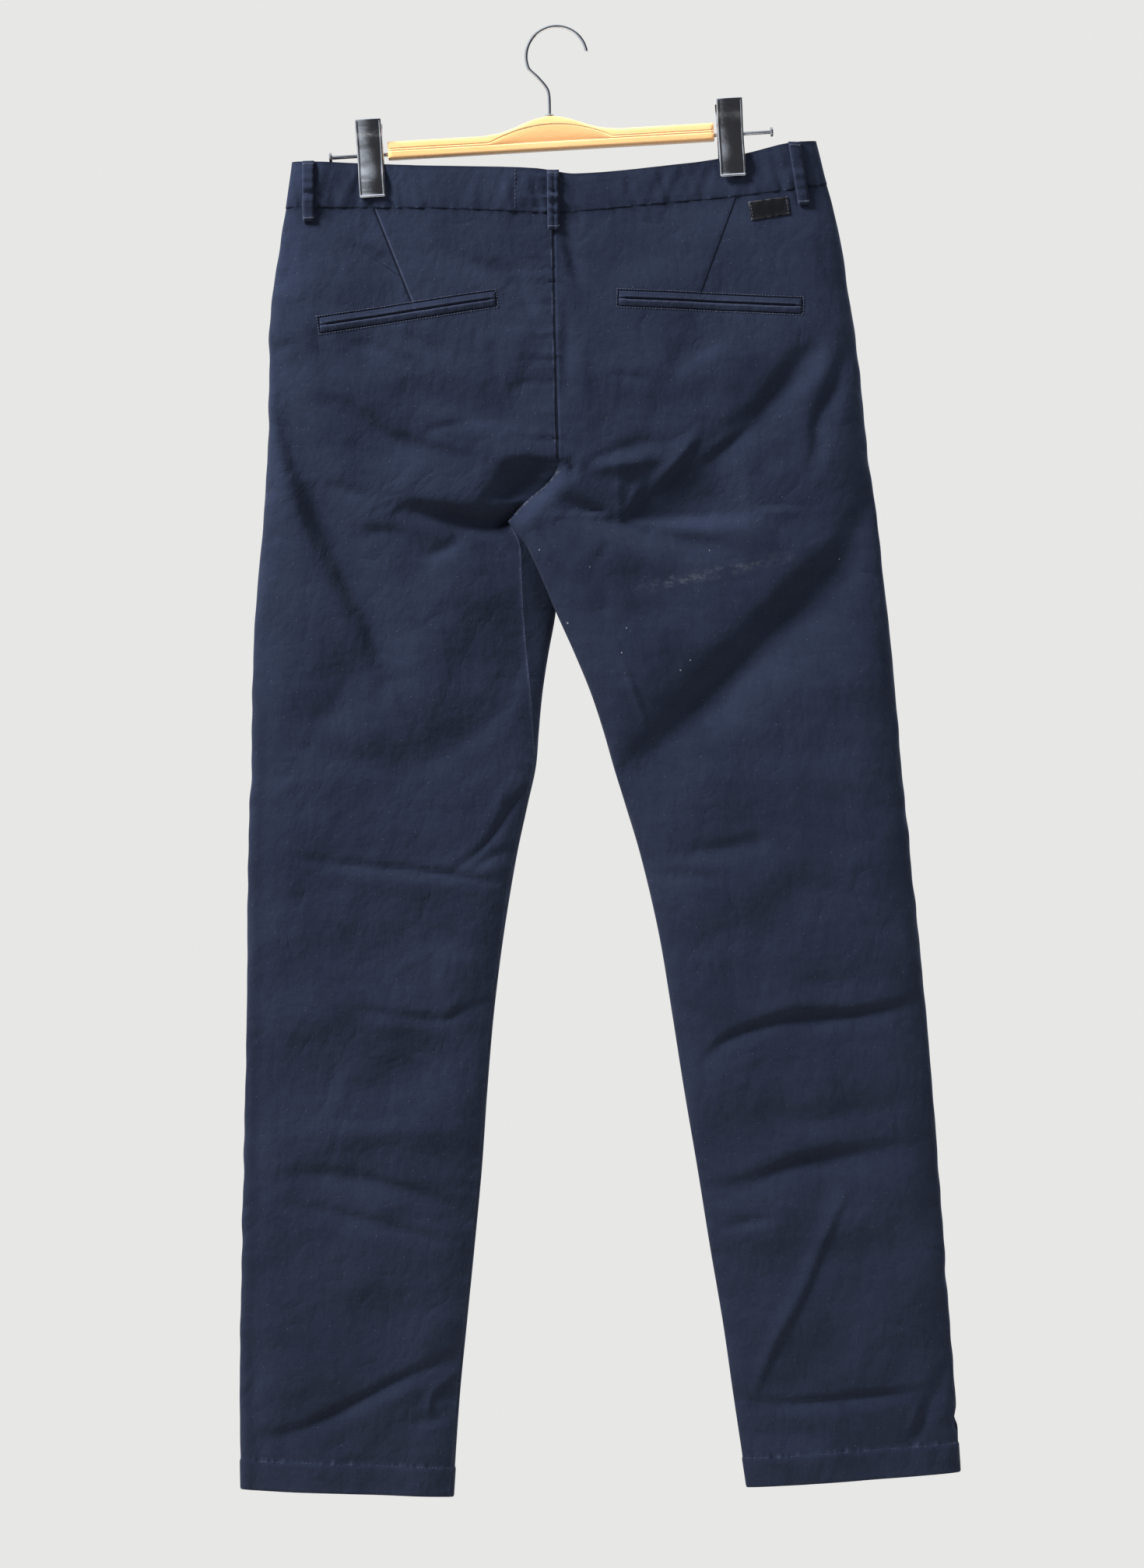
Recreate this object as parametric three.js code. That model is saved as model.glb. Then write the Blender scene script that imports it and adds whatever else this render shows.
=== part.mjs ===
// Chino trousers hung by the waistband from a clip hanger, seen from behind along +Y.
// Millimetres, +Z up, back of the garment towards -Y, origin where the hook rests on its rail.
import * as THREE from 'three';
import { mergeVertices } from 'three/addons/utils/BufferGeometryUtils.js';

// Cloth
const WALL = 1.8;              // thickness of a leg panel
const SEAM = 0.3;              // gap between two pieces that are sewn together
const HEM_HEIGHT = 25;         // depth of the turned-up hem
const HEM_PROUD = 0.8;         // how far the doubled hem stands out
const BAND_OUT = 0.5;          // waistband's face, outside the panels' face
const BAND_WALL = 2.6;
const STRIP_WALL = 1.2;        // welts, loops and edges laid on a panel
const CROTCH_Z = -400;         // where the four panels meet
const CROTCH_BLEND = 72;       // height over which the seat parts into two legs
const FRONT_SEAM_X = -3;       // centre front seam
const OUTER_REACH = 62;        // distance over which a leg rounds in to its side seam
const INNER_REACH_CROTCH = 120; // the same at the inseam, near the crotch
const INNER_REACH_LEG = 62;    // and lower down
const FOLD_BACK = 5;           // front panel's turn past the inner fold
const INSEAM_INSET = 2;        // least distance of the inseam from the inner fold
const RIGHT_FORK = 36.35;      // width of the right front panel's fork at the crotch
const FORK_HEIGHT = 170;       // height over which the fork narrows
const WINDOW = { left: 120, right: 100 }; // width over which a crossed thigh leans
const FLY = { width: 36, overlap: 2.5, straight: 110, depth: 172 };

// Waist clips' places, where the band is pinched
const CLIP_X = { left: -150, right: 141 };
const PINCH = 3.6;
const PINCH_WIDTH = 42;
const PINCH_FADE = 75;

// Side seams seen from behind, by height
const SIDE_SEAMS = [
  { z: -91, left: -212, right: 209.5 }, { z: -109, left: -213.6, right: 214.2 },
  { z: -126, left: -216, right: 218.6 }, { z: -145, left: -218.6, right: 223.7 },
  { z: -180, left: -224.5, right: 231.4 }, { z: -217, left: -229.9, right: 236.6 },
  { z: -248, left: -232.4, right: 241.6 }, { z: -292, left: -232.7, right: 247 },
  { z: -330, left: -233.1, right: 250.1 }, { z: -365, left: -235.2, right: 255 },
  { z: -400, left: -237.1, right: 259.8 }, { z: -443, left: -241.3, right: 264.5 },
  { z: -506, left: -245.4, right: 271.5 }, { z: -598, left: -247, right: 279.4 },
  { z: -670, left: -249.6, right: 286.6 }, { z: -796, left: -250.7, right: 299.2 },
  { z: -922, left: -253.3, right: 309.3 }, { z: -1048, left: -255.8, right: 318.1 },
  { z: -1105, left: -256.4, right: 322.6 }, { z: -1190, left: -255.2, right: 327.4 },
];

// Inner folds of the legs and the left inseam, which shows on the back of the leg
const INNER_FOLDS = [
  { z: -400, left: 1.9, inseam: -38, right: -39.2 },
  { z: -418, left: 2.2, inseam: -29.6, right: -25.2 },
  { z: -443, left: 1.9, inseam: -28.1, right: -13.1 },
  { z: -475, left: -0.9, inseam: -26.5, right: 0.5 },
  { z: -506, left: -6.5, inseam: -24, right: 14.5 },
  { z: -538, left: -11.3, inseam: -20.8, right: 27.7 },
  { z: -569, left: -14.2, inseam: -18.5, right: 38 },
  { z: -598, left: -16.6, inseam: -18, right: 46.3 },
  { z: -626, left: -22.7, inseam: -24.7, right: 55 },
  { z: -670, left: -32.1, inseam: -34, right: 68.2 },
  { z: -733, left: -42.5, inseam: -44.5, right: 82.9 },
  { z: -796, left: -50.4, inseam: -52.4, right: 93.4 },
  { z: -859, left: -55.8, inseam: -58, right: 103.3 },
  { z: -922, left: -60.2, inseam: -62, right: 114 },
  { z: -985, left: -66.1, inseam: -68, right: 124.1 },
  { z: -1048, left: -72.4, inseam: -74, right: 134.8 },
  { z: -1105, left: -78, inseam: -80, right: 143 },
  { z: -1190, left: -83.8, inseam: -86, right: 155.8 },
];

// Seat seam, from the waist to the crotch point
const SEAT_SEAM = [
  { z: -110, x: -2.2 }, { z: -150, x: -1.9 }, { z: -229, x: -0.9 }, { z: -294, x: 0.6 },
  { z: -345, x: 1.8 }, { z: -357, x: 0.6 }, { z: -368, x: -7 }, { z: -382, x: -23.3 },
  { z: -400, x: -39.2 },
];

// Height of the waist seam and of the band's top edge, from side to side
const WAIST_SEAM = [
  { x: -219, z: -145.5 }, { x: -103, z: -146.2 }, { x: -16, z: -149.9 }, { x: 6, z: -149.9 },
  { x: 123, z: -138.6 }, { x: 195, z: -130.4 }, { x: 219, z: -126 },
];
const BAND_TOP = [
  { x: -214, z: -108.7 }, { x: -161, z: -110.2 }, { x: -103, z: -112.5 }, { x: -16, z: -114.7 },
  { x: 16, z: -119.1 }, { x: 104, z: -110.6 }, { x: 153, z: -102.1 }, { x: 186, z: -94.5 },
  { x: 210, z: -91.7 },
];

// Heights of the hems' lower edges
const HEM_EDGE = {
  left: [{ x: -256, z: -1181.9 }, { x: -83, z: -1188.2 }],
  right: [{ x: 154, z: -1180.6 }, { x: 327, z: -1168 }],
};

// Half of the garment's depth, front to back, and how far the crossed thighs lean apart
const DEPTHS = [
  { z: -90, half: 8 }, { z: -146, half: 9 }, { z: -200, half: 11.5 }, { z: -280, half: 14 },
  { z: -350, half: 14 }, { z: -400, half: 13 }, { z: -520, half: 12.5 }, { z: -700, half: 11.5 },
  { z: -900, half: 10 }, { z: -1100, half: 8.5 }, { z: -1190, half: 7.5 },
];
const LEAN = [
  { z: -400, shift: 8.7 }, { z: -430, shift: 8.9 }, { z: -520, shift: 7 }, { z: -650, shift: 0 },
  { z: -1190, shift: 0 },
];

// Largest folds of the back: a path of x, z points, half-width and rise towards the viewer
const BACK_FOLDS = [
  { path: [[-228, -269], [-207, -345], [-178, -429], [-118, -551]], width: 15, rise: -3.4 },
  { path: [[-226, -320], [-196, -430], [-168, -490]], width: 12, rise: 2.2 },
  { path: [[-131, -385], [-93, -389], [-60, -395], [-38, -388]], width: 12, rise: -2.6 },
  { path: [[55, -391], [87, -353], [150, -319]], width: 12, rise: 2.6 },
  { path: [[101, -378], [146, -374]], width: 16, rise: -2.6 },
  { path: [[83, -353], [209, -253]], width: 18, rise: -1.8 },
  { path: [[253, -370], [234, -416], [125, -513], [49, -593]], width: 17, rise: -3.2 },
  { path: [[238, -253], [200, -345]], width: 15, rise: -1.8 },
  { path: [[-192, -672], [-100, -683], [-45, -685]], width: 13, rise: -2.2 },
  { path: [[115, -838], [152, -803], [203, -796], [291, -788]], width: 13, rise: -2.4 },
  { path: [[121, -935], [224, -910], [304, -889]], width: 13, rise: -1.8 },
  { path: [[219, -964], [194, -1023], [156, -1103]], width: 13, rise: 1.8 },
  { path: [[-225, -1137], [-77, -1078]], width: 13, rise: -1.6 },
];
const FRONT_FOLDS = [
  { path: [[-222, -300], [-150, -380], [-70, -420]], width: 16, rise: -2.4 },
  { path: [[236, -310], [160, -385], [80, -425]], width: 16, rise: -2.6 },
  { path: [[-200, -690], [-60, -675]], width: 14, rise: -2 },
  { path: [[270, -742], [130, -790]], width: 14, rise: -2.2 },
];

const NAVY = 0x2b3147, BUTTON_NAVY = 0x1f2434, BLACK_LEATHER = 0x15161a;
const BEECH = 0xe6b074, STEEL = 0xc9ccd2;

const clamp01 = (t) => Math.min(1, Math.max(0, t));
const smooth = (t) => { const c = clamp01(t); return c * c * (3 - 2 * c); };
const mix = (a, b, t) => a + (b - a) * t;

// Smooth curve through one column of a table, against another
function read(table, by, column, at) {
  const rising = table[table.length - 1][by] > table[0][by];
  const rows = rising ? table : [...table].reverse();
  let i = 0;
  while (i < rows.length - 2 && rows[i + 1][by] < at) i += 1;
  const [a, b] = [rows[i], rows[i + 1]];
  const span = b[by] - a[by];
  const t = clamp01((at - a[by]) / span);
  const before = rows[i - 1] ?? a, after = rows[i + 2] ?? b;
  const startSlope = (b[column] - before[column]) / (b[by] - before[by]) * span;
  const endSlope = (after[column] - a[column]) / (after[by] - a[by]) * span;
  const rise = b[column] - a[column];
  const bend = t * t * (3 - 2 * t);
  return a[column] + rise * bend + startSlope * t * (1 - t) ** 2 - endSlope * t * t * (1 - t);
}

// How far a set of folds lifts the cloth at a point
function relief(folds, x, z) {
  let lift = 0;
  for (const fold of folds) {
    let nearest = Infinity, along = 0;
    const spans = fold.path.length - 1;
    for (let k = 0; k < spans; k += 1) {
      const [ax, az] = fold.path[k], [bx, bz] = fold.path[k + 1];
      const length = (bx - ax) ** 2 + (bz - az) ** 2;
      const t = clamp01(((x - ax) * (bx - ax) + (z - az) * (bz - az)) / length);
      const gap = Math.hypot(x - mix(ax, bx, t), z - mix(az, bz, t));
      if (gap < nearest) { nearest = gap; along = (k + t) / spans; }
    }
    const taper = 0.25 + 0.75 * Math.sin(Math.PI * along);
    lift += fold.rise * taper * Math.exp(-((nearest / fold.width) ** 2));
  }
  return lift;
}

const sign = (half) => (half === 'left' ? -1 : 1);
const legShare = (z) => smooth((CROTCH_Z + CROTCH_BLEND - z) / CROTCH_BLEND);
const outerX = (half, z) => read(SIDE_SEAMS, 'z', half, z);
const seatX = (z) => read(SEAT_SEAM, 'z', 'x', z);

// The inner fold's place, carried on above the crotch
function innerX(half, face, z) {
  if (z >= CROTCH_Z && half === 'right' && face < 0) return seatX(z);
  return read(INNER_FOLDS, 'z', half, Math.min(z, CROTCH_Z));
}

// Quarter-round run-in of a folded edge: 0 on the edge, 1 at its reach
const roundIn = (distance, reach) => Math.sqrt(1 - (1 - clamp01(distance / reach)) ** 2);

// Depth of the cloth's face at x, z; inset moves it towards the hollow
function clothY(half, face, x, z, inset = 0) {
  const share = legShare(z);
  const outward = sign(half);
  const low = smooth((CROTCH_Z - z) / 200);
  const reach = mix(INNER_REACH_CROTCH, INNER_REACH_LEG, low);
  const fromOuter = outward * (outerX(half, z) - x) - inset;
  const fromInner = outward * (x - innerX(half, face, z));
  const inner = fromInner - inset * share + (1 - share) * reach;
  const depth = read(DEPTHS, 'z', 'half', z);
  const pinch = pinchAt(x, z);
  const thick = (depth - pinch) - inset;
  const near = 1 - smooth(fromInner / WINDOW[half]);
  const lean = -outward * read(LEAN, 'z', 'shift', Math.min(z, CROTCH_Z)) * share * near;
  const round = roundIn(fromOuter, OUTER_REACH) * roundIn(inner, reach);
  const folds = face < 0 ? BACK_FOLDS : FRONT_FOLDS;
  const lift = relief(folds, x, z) * roundIn(fromOuter, 40) * roundIn(inner, 40);
  const sewn = face * SEAM / 2;
  return lean + sewn + face * (thick * round + lift);
}

function pinchAt(x, z) {
  let pinch = 0;
  for (const clip of [CLIP_X.left, CLIP_X.right]) {
    pinch += PINCH * Math.exp(-(((x - clip) / PINCH_WIDTH) ** 2));
  }
  const below = read(WAIST_SEAM, 'x', 'z', x) - z;
  return pinch * (1 - smooth(below / PINCH_FADE));
}

// The panel that lies behind is drawn to its neighbour's edge, above the crotch
function faceY(half, face, x, z, inset = 0) {
  const y = clothY(half, face, x, z, inset);
  const behind = (half === 'left' && face < 0) || (half === 'right' && face > 0);
  if (!behind || z < CROTCH_Z) return y;
  const seam = face < 0 ? seatX(z) : FRONT_SEAM_X;
  const other = half === 'left' ? 'right' : 'left';
  const edge = clothY(other, face, seam, z, inset);
  const away = Math.abs(x - seam) / 45;
  const pull = (1 - smooth(away)) * smooth((z - CROTCH_Z) / 26);
  return mix(y, edge, pull);
}

// Height of a level at x: curved like the waist at the top and like the hem at the bottom
function levelZ(half, level, x) {
  const waist = read(WAIST_SEAM, 'x', 'z', x);
  const hem = read(HEM_EDGE[half], 'x', 'z', x);
  if (level.hem) return hem + level.up;
  const atTop = 1 - smooth(level.share / 0.2);
  const atFoot = smooth((level.share - 0.75) / 0.25);
  const bent = mix(waist, hem + HEM_HEIGHT, level.share);
  return mix(level.z, bent, Math.max(atTop, atFoot));
}

// Levels from the waist seam to the hem; the crotch lies on one of them
const SEAT_ROWS = 10, LEG_ROWS = 21, WAIST_Z = -146.5, HEM_STITCH_Z = -1158;
function makeLevels() {
  const levels = [];
  for (let i = 0; i < SEAT_ROWS; i += 1) levels.push(mix(WAIST_Z, CROTCH_Z, i / SEAT_ROWS));
  for (let i = 0; i <= LEG_ROWS; i += 1) {
    const t = i / LEG_ROWS;
    levels.push(mix(CROTCH_Z, HEM_STITCH_Z, 0.55 * t + 0.45 * t * t));
  }
  const rows = levels.map((z) => ({ z, share: (z - WAIST_Z) / (HEM_STITCH_Z - WAIST_Z) }));
  rows.push({ hem: true, up: HEM_HEIGHT - 1.5, share: 1 }, { hem: true, up: 0, share: 1 });
  return rows;
}
const LEVELS = makeLevels();
const CROTCH_ROW = SEAT_ROWS;

// Closed wall from a grid of points: pointAt(row, column, inset), and which cells are cloth
function wall(rows, columns, pointAt, hasCell = () => true) {
  const across = columns + 1, layer = (rows + 1) * across;
  const positions = [];
  for (const inset of [0, 1]) {
    for (let i = 0; i <= rows; i += 1) {
      for (let j = 0; j <= columns; j += 1) positions.push(...pointAt(i, j, inset));
    }
  }
  const faces = [];
  for (let i = 0; i < rows; i += 1) {
    for (let j = 0; j < columns; j += 1) {
      if (!hasCell(i, j)) continue;
      const a = i * across + j, b = a + 1, c = a + across, d = c + 1;
      faces.push([a, b, d], [a, d, c]);
    }
  }
  return closedShell(positions, faces, layer);
}

// Outer faces, the same faces reversed on the inner layer, and a rim along every free edge
function closedShell(positions, faces, layer) {
  const index = [], edges = new Map();
  for (const [a, b, c] of faces) {
    index.push(a, b, c, a + layer, c + layer, b + layer);
    for (const [from, to] of [[a, b], [b, c], [c, a]]) {
      const back = `${to}_${from}`;
      if (edges.has(back)) edges.delete(back);
      else edges.set(`${from}_${to}`, [from, to]);
    }
  }
  for (const [from, to] of edges.values()) {
    index.push(from, from + layer, to, to, from + layer, to + layer);
  }
  return solid(positions, index);
}

// A geometry whose faces point outwards, whichever way its grid ran
function solid(positions, index) {
  let volume = 0;
  const at = (v) => new THREE.Vector3().fromArray(positions, v * 3);
  for (let t = 0; t < index.length; t += 3) {
    volume += at(index[t]).dot(at(index[t + 1]).cross(at(index[t + 2])));
  }
  const order = volume > 0 ? index : index.slice().reverse();
  const geometry = new THREE.BufferGeometry();
  geometry.setAttribute('position', new THREE.Float32BufferAttribute(positions, 3));
  geometry.setIndex(order);
  const merged = mergeVertices(geometry, 1e-4);
  merged.computeVertexNormals();
  return merged;
}

// Spacing across a panel: close together where an edge is folded
const spread = (t, folded) => mix(1 - Math.cos(Math.PI * t / 2), (1 - Math.cos(Math.PI * t)) / 2, folded);

// The extra thickness of the turned hem, outwards
const hemProud = (level) => (level.hem ? HEM_PROUD : 0);

const PANEL_COLUMNS = 16;

function backPanel(half) {
  const outward = sign(half);
  return wall(LEVELS.length - 1, PANEL_COLUMNS, (i, j, layer) => {
    const level = LEVELS[i];
    const inset = layer ? WALL : -hemProud(level);
    const sideZ = levelZ(half, level, outward * 235);
    const innerZ = levelZ(half, level, half === 'left' ? -60 : 100);
    const share = legShare(innerZ);
    const side = outerX(half, sideZ) - outward * inset;
    const t = spread(j / PANEL_COLUMNS, share);
    const x = mix(side, backEdgeX(half, innerZ, inset), t);
    const z = levelZ(half, level, x);
    return [x, faceY(half, -1, x, z, inset), z];
  });
}

// Inner edge of a back panel: seat seam, then inseam
function backEdgeX(half, z, inset) {
  if (z > CROTCH_Z) return seatX(z) + sign(half) * SEAM / 2;
  if (half === 'left') return inseamX(z) - SEAM / 2;
  return innerX('right', -1, z) + inset;
}

function inseamX(z) {
  const table = read(INNER_FOLDS, 'z', 'inseam', z);
  return Math.min(table, innerX('left', -1, z) - INSEAM_INSET);
}

// Where the front panel's main part meets its fork, on the front of the leg
function forkX(half, z) {
  if (z > CROTCH_Z) return FRONT_SEAM_X + sign(half) * SEAM / 2;
  if (half === 'left') return innerX('left', 1, z) - FOLD_BACK;
  const width = mix(RIGHT_FORK, FOLD_BACK, smooth((CROTCH_Z - z) / FORK_HEIGHT));
  return innerX('right', 1, z) + width;
}

const FORK_BACK_COLUMNS = { left: 4, right: 0 };
const FORK_FRONT_COLUMNS = { left: 2, right: 4 };

function frontPanel(half) {
  const outward = sign(half);
  const onFront = FORK_FRONT_COLUMNS[half], onBack = FORK_BACK_COLUMNS[half];
  const main = PANEL_COLUMNS;
  const columns = main + onFront + onBack;
  const pointAt = (i, j, layer) => {
    const level = LEVELS[i];
    const inset = layer ? WALL : -hemProud(level);
    const sideZ = levelZ(half, level, outward * 235);
    const innerZ = levelZ(half, level, half === 'left' ? -60 : 100);
    const share = legShare(innerZ);
    const fold = innerX(half, 1, innerZ) + outward * inset;
    const fork = forkX(half, innerZ);
    let x, face = 1;
    if (j <= main) {
      const side = outerX(half, sideZ) - outward * inset;
      x = mix(side, fork, spread(j / main, share));
    } else if (j <= main + onFront) {
      x = mix(fork, fold, Math.sin(Math.PI / 2 * (j - main) / onFront));
    } else {
      const t = 1 - Math.cos(Math.PI / 2 * (j - main - onFront) / onBack);
      x = mix(fold, inseamX(innerZ) + SEAM / 2, t);
      face = -1;
    }
    const z = levelZ(half, level, x);
    return [x, faceY(half, face, x, z, inset), z];
  };
  return wall(LEVELS.length - 1, columns, pointAt, (i, j) => j < main || i >= CROTCH_ROW);
}

// Face of the waistband, which carries the panels' line on upwards
const bandY = (half, face, x, z, inset) => faceY(half, face, x, z, inset - BAND_OUT);

const BAND_COLUMNS = 14, BAND_ROWS = 2, TAB_LENGTH = 32, TAB_STEP = 3.4;

// One half of the waistband, from the centre back round the side to the centre front
function waistband(half) {
  const outward = sign(half);
  const frontEnd = half === 'left' ? FRONT_SEAM_X + TAB_LENGTH : FRONT_SEAM_X + SEAM / 2;
  return wall(BAND_ROWS, 2 * BAND_COLUMNS, (i, j, layer) => {
    const inset = layer ? BAND_WALL : 0;
    const up = i / BAND_ROWS;
    const sideTop = read(BAND_TOP, 'x', 'z', outward * 230);
    const sideLow = read(WAIST_SEAM, 'x', 'z', outward * 230) + SEAM;
    const side = outerX(half, mix(sideLow, sideTop, up)) + outward * (BAND_OUT - inset);
    const face = j < BAND_COLUMNS ? -1 : 1;
    const centre = face < 0 ? seatX(-130) + outward * SEAM / 2 : frontEnd;
    const t = Math.abs(j - BAND_COLUMNS) / BAND_COLUMNS;
    const x = mix(side, centre, 1 - Math.cos(Math.PI / 2 * t));
    const low = read(WAIST_SEAM, 'x', 'z', x) + SEAM;
    const z = mix(low, read(BAND_TOP, 'x', 'z', x), up);
    const over = half === 'left' && face > 0 ? TAB_STEP * smooth((x + 34) / 28) : 0;
    const y = j === BAND_COLUMNS ? 0 : bandY(half, face, x, z, inset);
    return [x, y + over, z];
  });
}

// A strip laid on a panel: corner points a (start) to d, moved out from the cloth's face
function laidStrip({ half, face, corners, rows, columns, lift, thick, bulge = 0 }) {
  const [a, b, c, d] = corners;
  return wall(rows, columns, (i, j, layer) => {
    const u = j / columns, v = i / rows;
    const x = mix(mix(a[0], b[0], u), mix(d[0], c[0], u), v);
    const z = mix(mix(a[1], b[1], u), mix(d[1], c[1], u), v);
    const stand = lift + bulge * Math.sin(Math.PI * v) + (layer ? 0 : thick);
    return [x, faceY(half, face, x, z, 0) + face * stand, z];
  });
}

// Back pockets: an upper and a lower welt with a slit between them
const POCKETS = {
  left: { from: [-190.6, -242.1], to: [-49.3, -220.4] },
  right: { from: [50.4, -219.9], to: [197.6, -226.5] },
};
const WELT_HEIGHT = 5.2, WELT_SLIT = 1.2;

function welt(half, upper) {
  const { from, to } = POCKETS[half];
  const near = upper * WELT_SLIT / 2, far = upper * (WELT_SLIT / 2 + WELT_HEIGHT);
  const corners = [[from[0], from[1] + far], [to[0], to[1] + far], [to[0], to[1] + near],
    [from[0], from[1] + near]];
  return laidStrip({ half, face: -1, corners, rows: 1, columns: 12, lift: SEAM + 0.1, thick: STRIP_WALL });
}

// Belt loops: the middle of each top end, its lean and its length
const LOOPS = {
  belt_loop_left: { half: 'left', face: -1, x: -200.4, top: -108.9, lean: 0.4, length: 49 },
  belt_loop_centre: { half: 'right', face: -1, x: -2.8, top: -116.4, lean: 0.6, length: 48.5 },
  belt_loop_right: { half: 'right', face: -1, x: 191.8, top: -93.6, lean: 8.4, length: 51 },
  belt_loop_front_left: { half: 'left', face: 1, x: -104, top: -112.6, lean: 0, length: 49 },
  belt_loop_front_right: { half: 'right', face: 1, x: 98, top: -111.4, lean: 0, length: 49 },
};
const LOOP_WIDTH = 9.8, LOOP_LIFT = BAND_OUT + SEAM + 0.3;

function beltLoop({ half, face, x, top, lean, length }) {
  const w = LOOP_WIDTH / 2, low = top - length;
  const corners = [[x - w, top], [x + w, top], [x + w + lean, low], [x - w + lean, low]];
  return laidStrip({ half, face, corners, rows: 6, columns: 1, lift: LOOP_LIFT, thick: 1.6, bulge: 0.5 });
}

function waistPatch() {
  const corners = [[155, -141.4], [186.8, -137.2], [188.6, -151.6], [157.5, -156.9]];
  return laidStrip({ half: 'right', face: -1, corners, rows: 2, columns: 4, lift: 0.4, thick: 1.3 });
}

// Hand pockets of the front: a doubled slanting edge
function pocketEdge(half) {
  const outward = sign(half);
  const top = read(WAIST_SEAM, 'x', 'z', outward * 158) - 1;
  const corners = [[outward * 152, top], [outward * 162, top], [outward * 228, -292],
    [outward * 226, -306]];
  return laidStrip({ half, face: 1, corners, rows: 8, columns: 2, lift: 0.5, thick: STRIP_WALL });
}

// Fly: the doubled edge of the left front, closed over the zip, rounded at its foot
function flyPlacket() {
  const top = read(WAIST_SEAM, 'x', 'z', FRONT_SEAM_X) - 0.6;
  const right = FRONT_SEAM_X + FLY.overlap;
  const rows = 12;
  return wall(rows, 4, (i, j, layer) => {
    const down = FLY.depth * i / rows;
    const curve = Math.max(0, (down - FLY.straight) / (FLY.depth - FLY.straight));
    const width = 6 + (FLY.width - 6) * Math.sqrt(Math.max(0, 1 - curve * curve));
    const x = right - width * (1 - j / 4);
    const z = top - down;
    const near = Math.max(faceY('left', 1, x, z), faceY('right', 1, x, z));
    return [x, near + 0.7 + (layer ? 0 : STRIP_WALL), z];
  });
}

// Waist button with four sewing holes, on the tab of the band
const BUTTON = { radius: 8.5, thick: 2.4, rim: 1.1, hole: 0.9, spacing: 2.2 };

function waistButton() {
  const outline = new THREE.Shape().absarc(0, 0, BUTTON.radius, 0, 2 * Math.PI);
  for (const [sx, sy] of [[1, 1], [1, -1], [-1, 1], [-1, -1]]) {
    const hole = new THREE.Path();
    hole.absarc(sx * BUTTON.spacing, sy * BUTTON.spacing, BUTTON.hole, 0, 2 * Math.PI);
    outline.holes.push(hole);
  }
  const geometry = new THREE.ExtrudeGeometry(outline, {
    depth: BUTTON.thick, curveSegments: 10, bevelEnabled: false,
  });
  geometry.rotateX(-Math.PI / 2);
  return geometry;
}

// Hanger, in its own tilted frame: x along the bar, z up from the bar's lower edge
const HANGER = {
  place: [-4, -99.2], tilt: THREE.MathUtils.degToRad(3.35),
  barHalf: 132, barEnd: 14.2, humpHalf: 50, humpTop: 27.2, barThick: 12,
  rodHeight: 4.6, rodRadius: 1.6, rodTip: 180, headRadius: 4, headThick: 2.4,
  wireRadius: 1.5, hookRadius: 24.6,
};

function hangerBar() {
  const outline = new THREE.Shape();
  outline.moveTo(-HANGER.barHalf, 0).lineTo(HANGER.barHalf, 0).lineTo(HANGER.barHalf, HANGER.barEnd);
  const steps = 20;
  for (let i = 0; i <= steps; i += 1) {
    const x = mix(HANGER.humpHalf, -HANGER.humpHalf, i / steps);
    const bell = 0.5 + 0.5 * Math.cos(Math.PI * x / HANGER.humpHalf);
    outline.lineTo(x, mix(HANGER.barEnd + 0.8, HANGER.humpTop, bell));
  }
  outline.lineTo(-HANGER.barHalf, HANGER.barEnd);
  const bevel = 2.4;
  const geometry = new THREE.ExtrudeGeometry(outline, {
    depth: HANGER.barThick - 2 * bevel, bevelEnabled: true, bevelThickness: bevel,
    bevelSize: bevel, bevelOffset: -bevel, bevelSegments: 2,
  });
  geometry.translate(0, 0, -HANGER.barThick / 2 + bevel);
  geometry.rotateX(Math.PI / 2);
  return geometry;
}

// Hook wire: straight shank, neck, then most of a circle
function hookCurve() {
  const centre = new THREE.Vector2(0, HANGER.wireRadius - HANGER.hookRadius);
  const points = [[-5.6, -71.3], [-5.7, -62], [-6.3, -53.5], [-8.4, -48], [-15, -40.2]];
  const start = THREE.MathUtils.degToRad(203), end = THREE.MathUtils.degToRad(12), steps = 14;
  for (let i = 0; i <= steps; i += 1) {
    const angle = mix(start, end, i / steps);
    points.push([centre.x + HANGER.hookRadius * Math.cos(angle),
      centre.y + HANGER.hookRadius * Math.sin(angle)]);
  }
  return new THREE.CatmullRomCurve3(points.map(([x, z]) => new THREE.Vector3(x, 0, z)), false, 'centripetal');
}

function roundWire(curve, radius, steps, sides) {
  const ring = new THREE.Shape();
  for (let i = 0; i <= sides; i += 1) {
    const angle = 2 * Math.PI * i / sides;
    const [x, y] = [radius * Math.cos(angle), radius * Math.sin(angle)];
    if (i === 0) ring.moveTo(x, y);
    else if (i < sides) ring.lineTo(x, y);
  }
  ring.closePath();
  return new THREE.ExtrudeGeometry(ring, { steps, extrudePath: curve, bevelEnabled: false });
}

// Collar that seats the wire in the bar's hump
function hookCollar() {
  const bore = HANGER.wireRadius + SEAM + 0.2;
  const profile = [[bore, 0], [4, 0], [4, 1.2], [2.8, 2.2], [bore, 2.2], [bore, 0]];
  const geometry = new THREE.LatheGeometry(profile.map(([r, h]) => new THREE.Vector2(r, h)), 16);
  geometry.rotateX(Math.PI / 2);
  return geometry;
}

// Rod end with its head, along +x from the bar
function rodEnd() {
  const start = HANGER.barHalf + SEAM, tip = HANGER.rodTip;
  const neck = tip - HANGER.headThick;
  const profile = [[0, start], [HANGER.rodRadius, start], [HANGER.rodRadius, neck],
    [HANGER.headRadius, neck], [HANGER.headRadius, tip - 0.6], [HANGER.headRadius - 0.8, tip], [0, tip]];
  const geometry = new THREE.LatheGeometry(profile.map(([r, h]) => new THREE.Vector2(r, h)), 14);
  geometry.rotateZ(-Math.PI / 2);
  return geometry;
}

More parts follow.
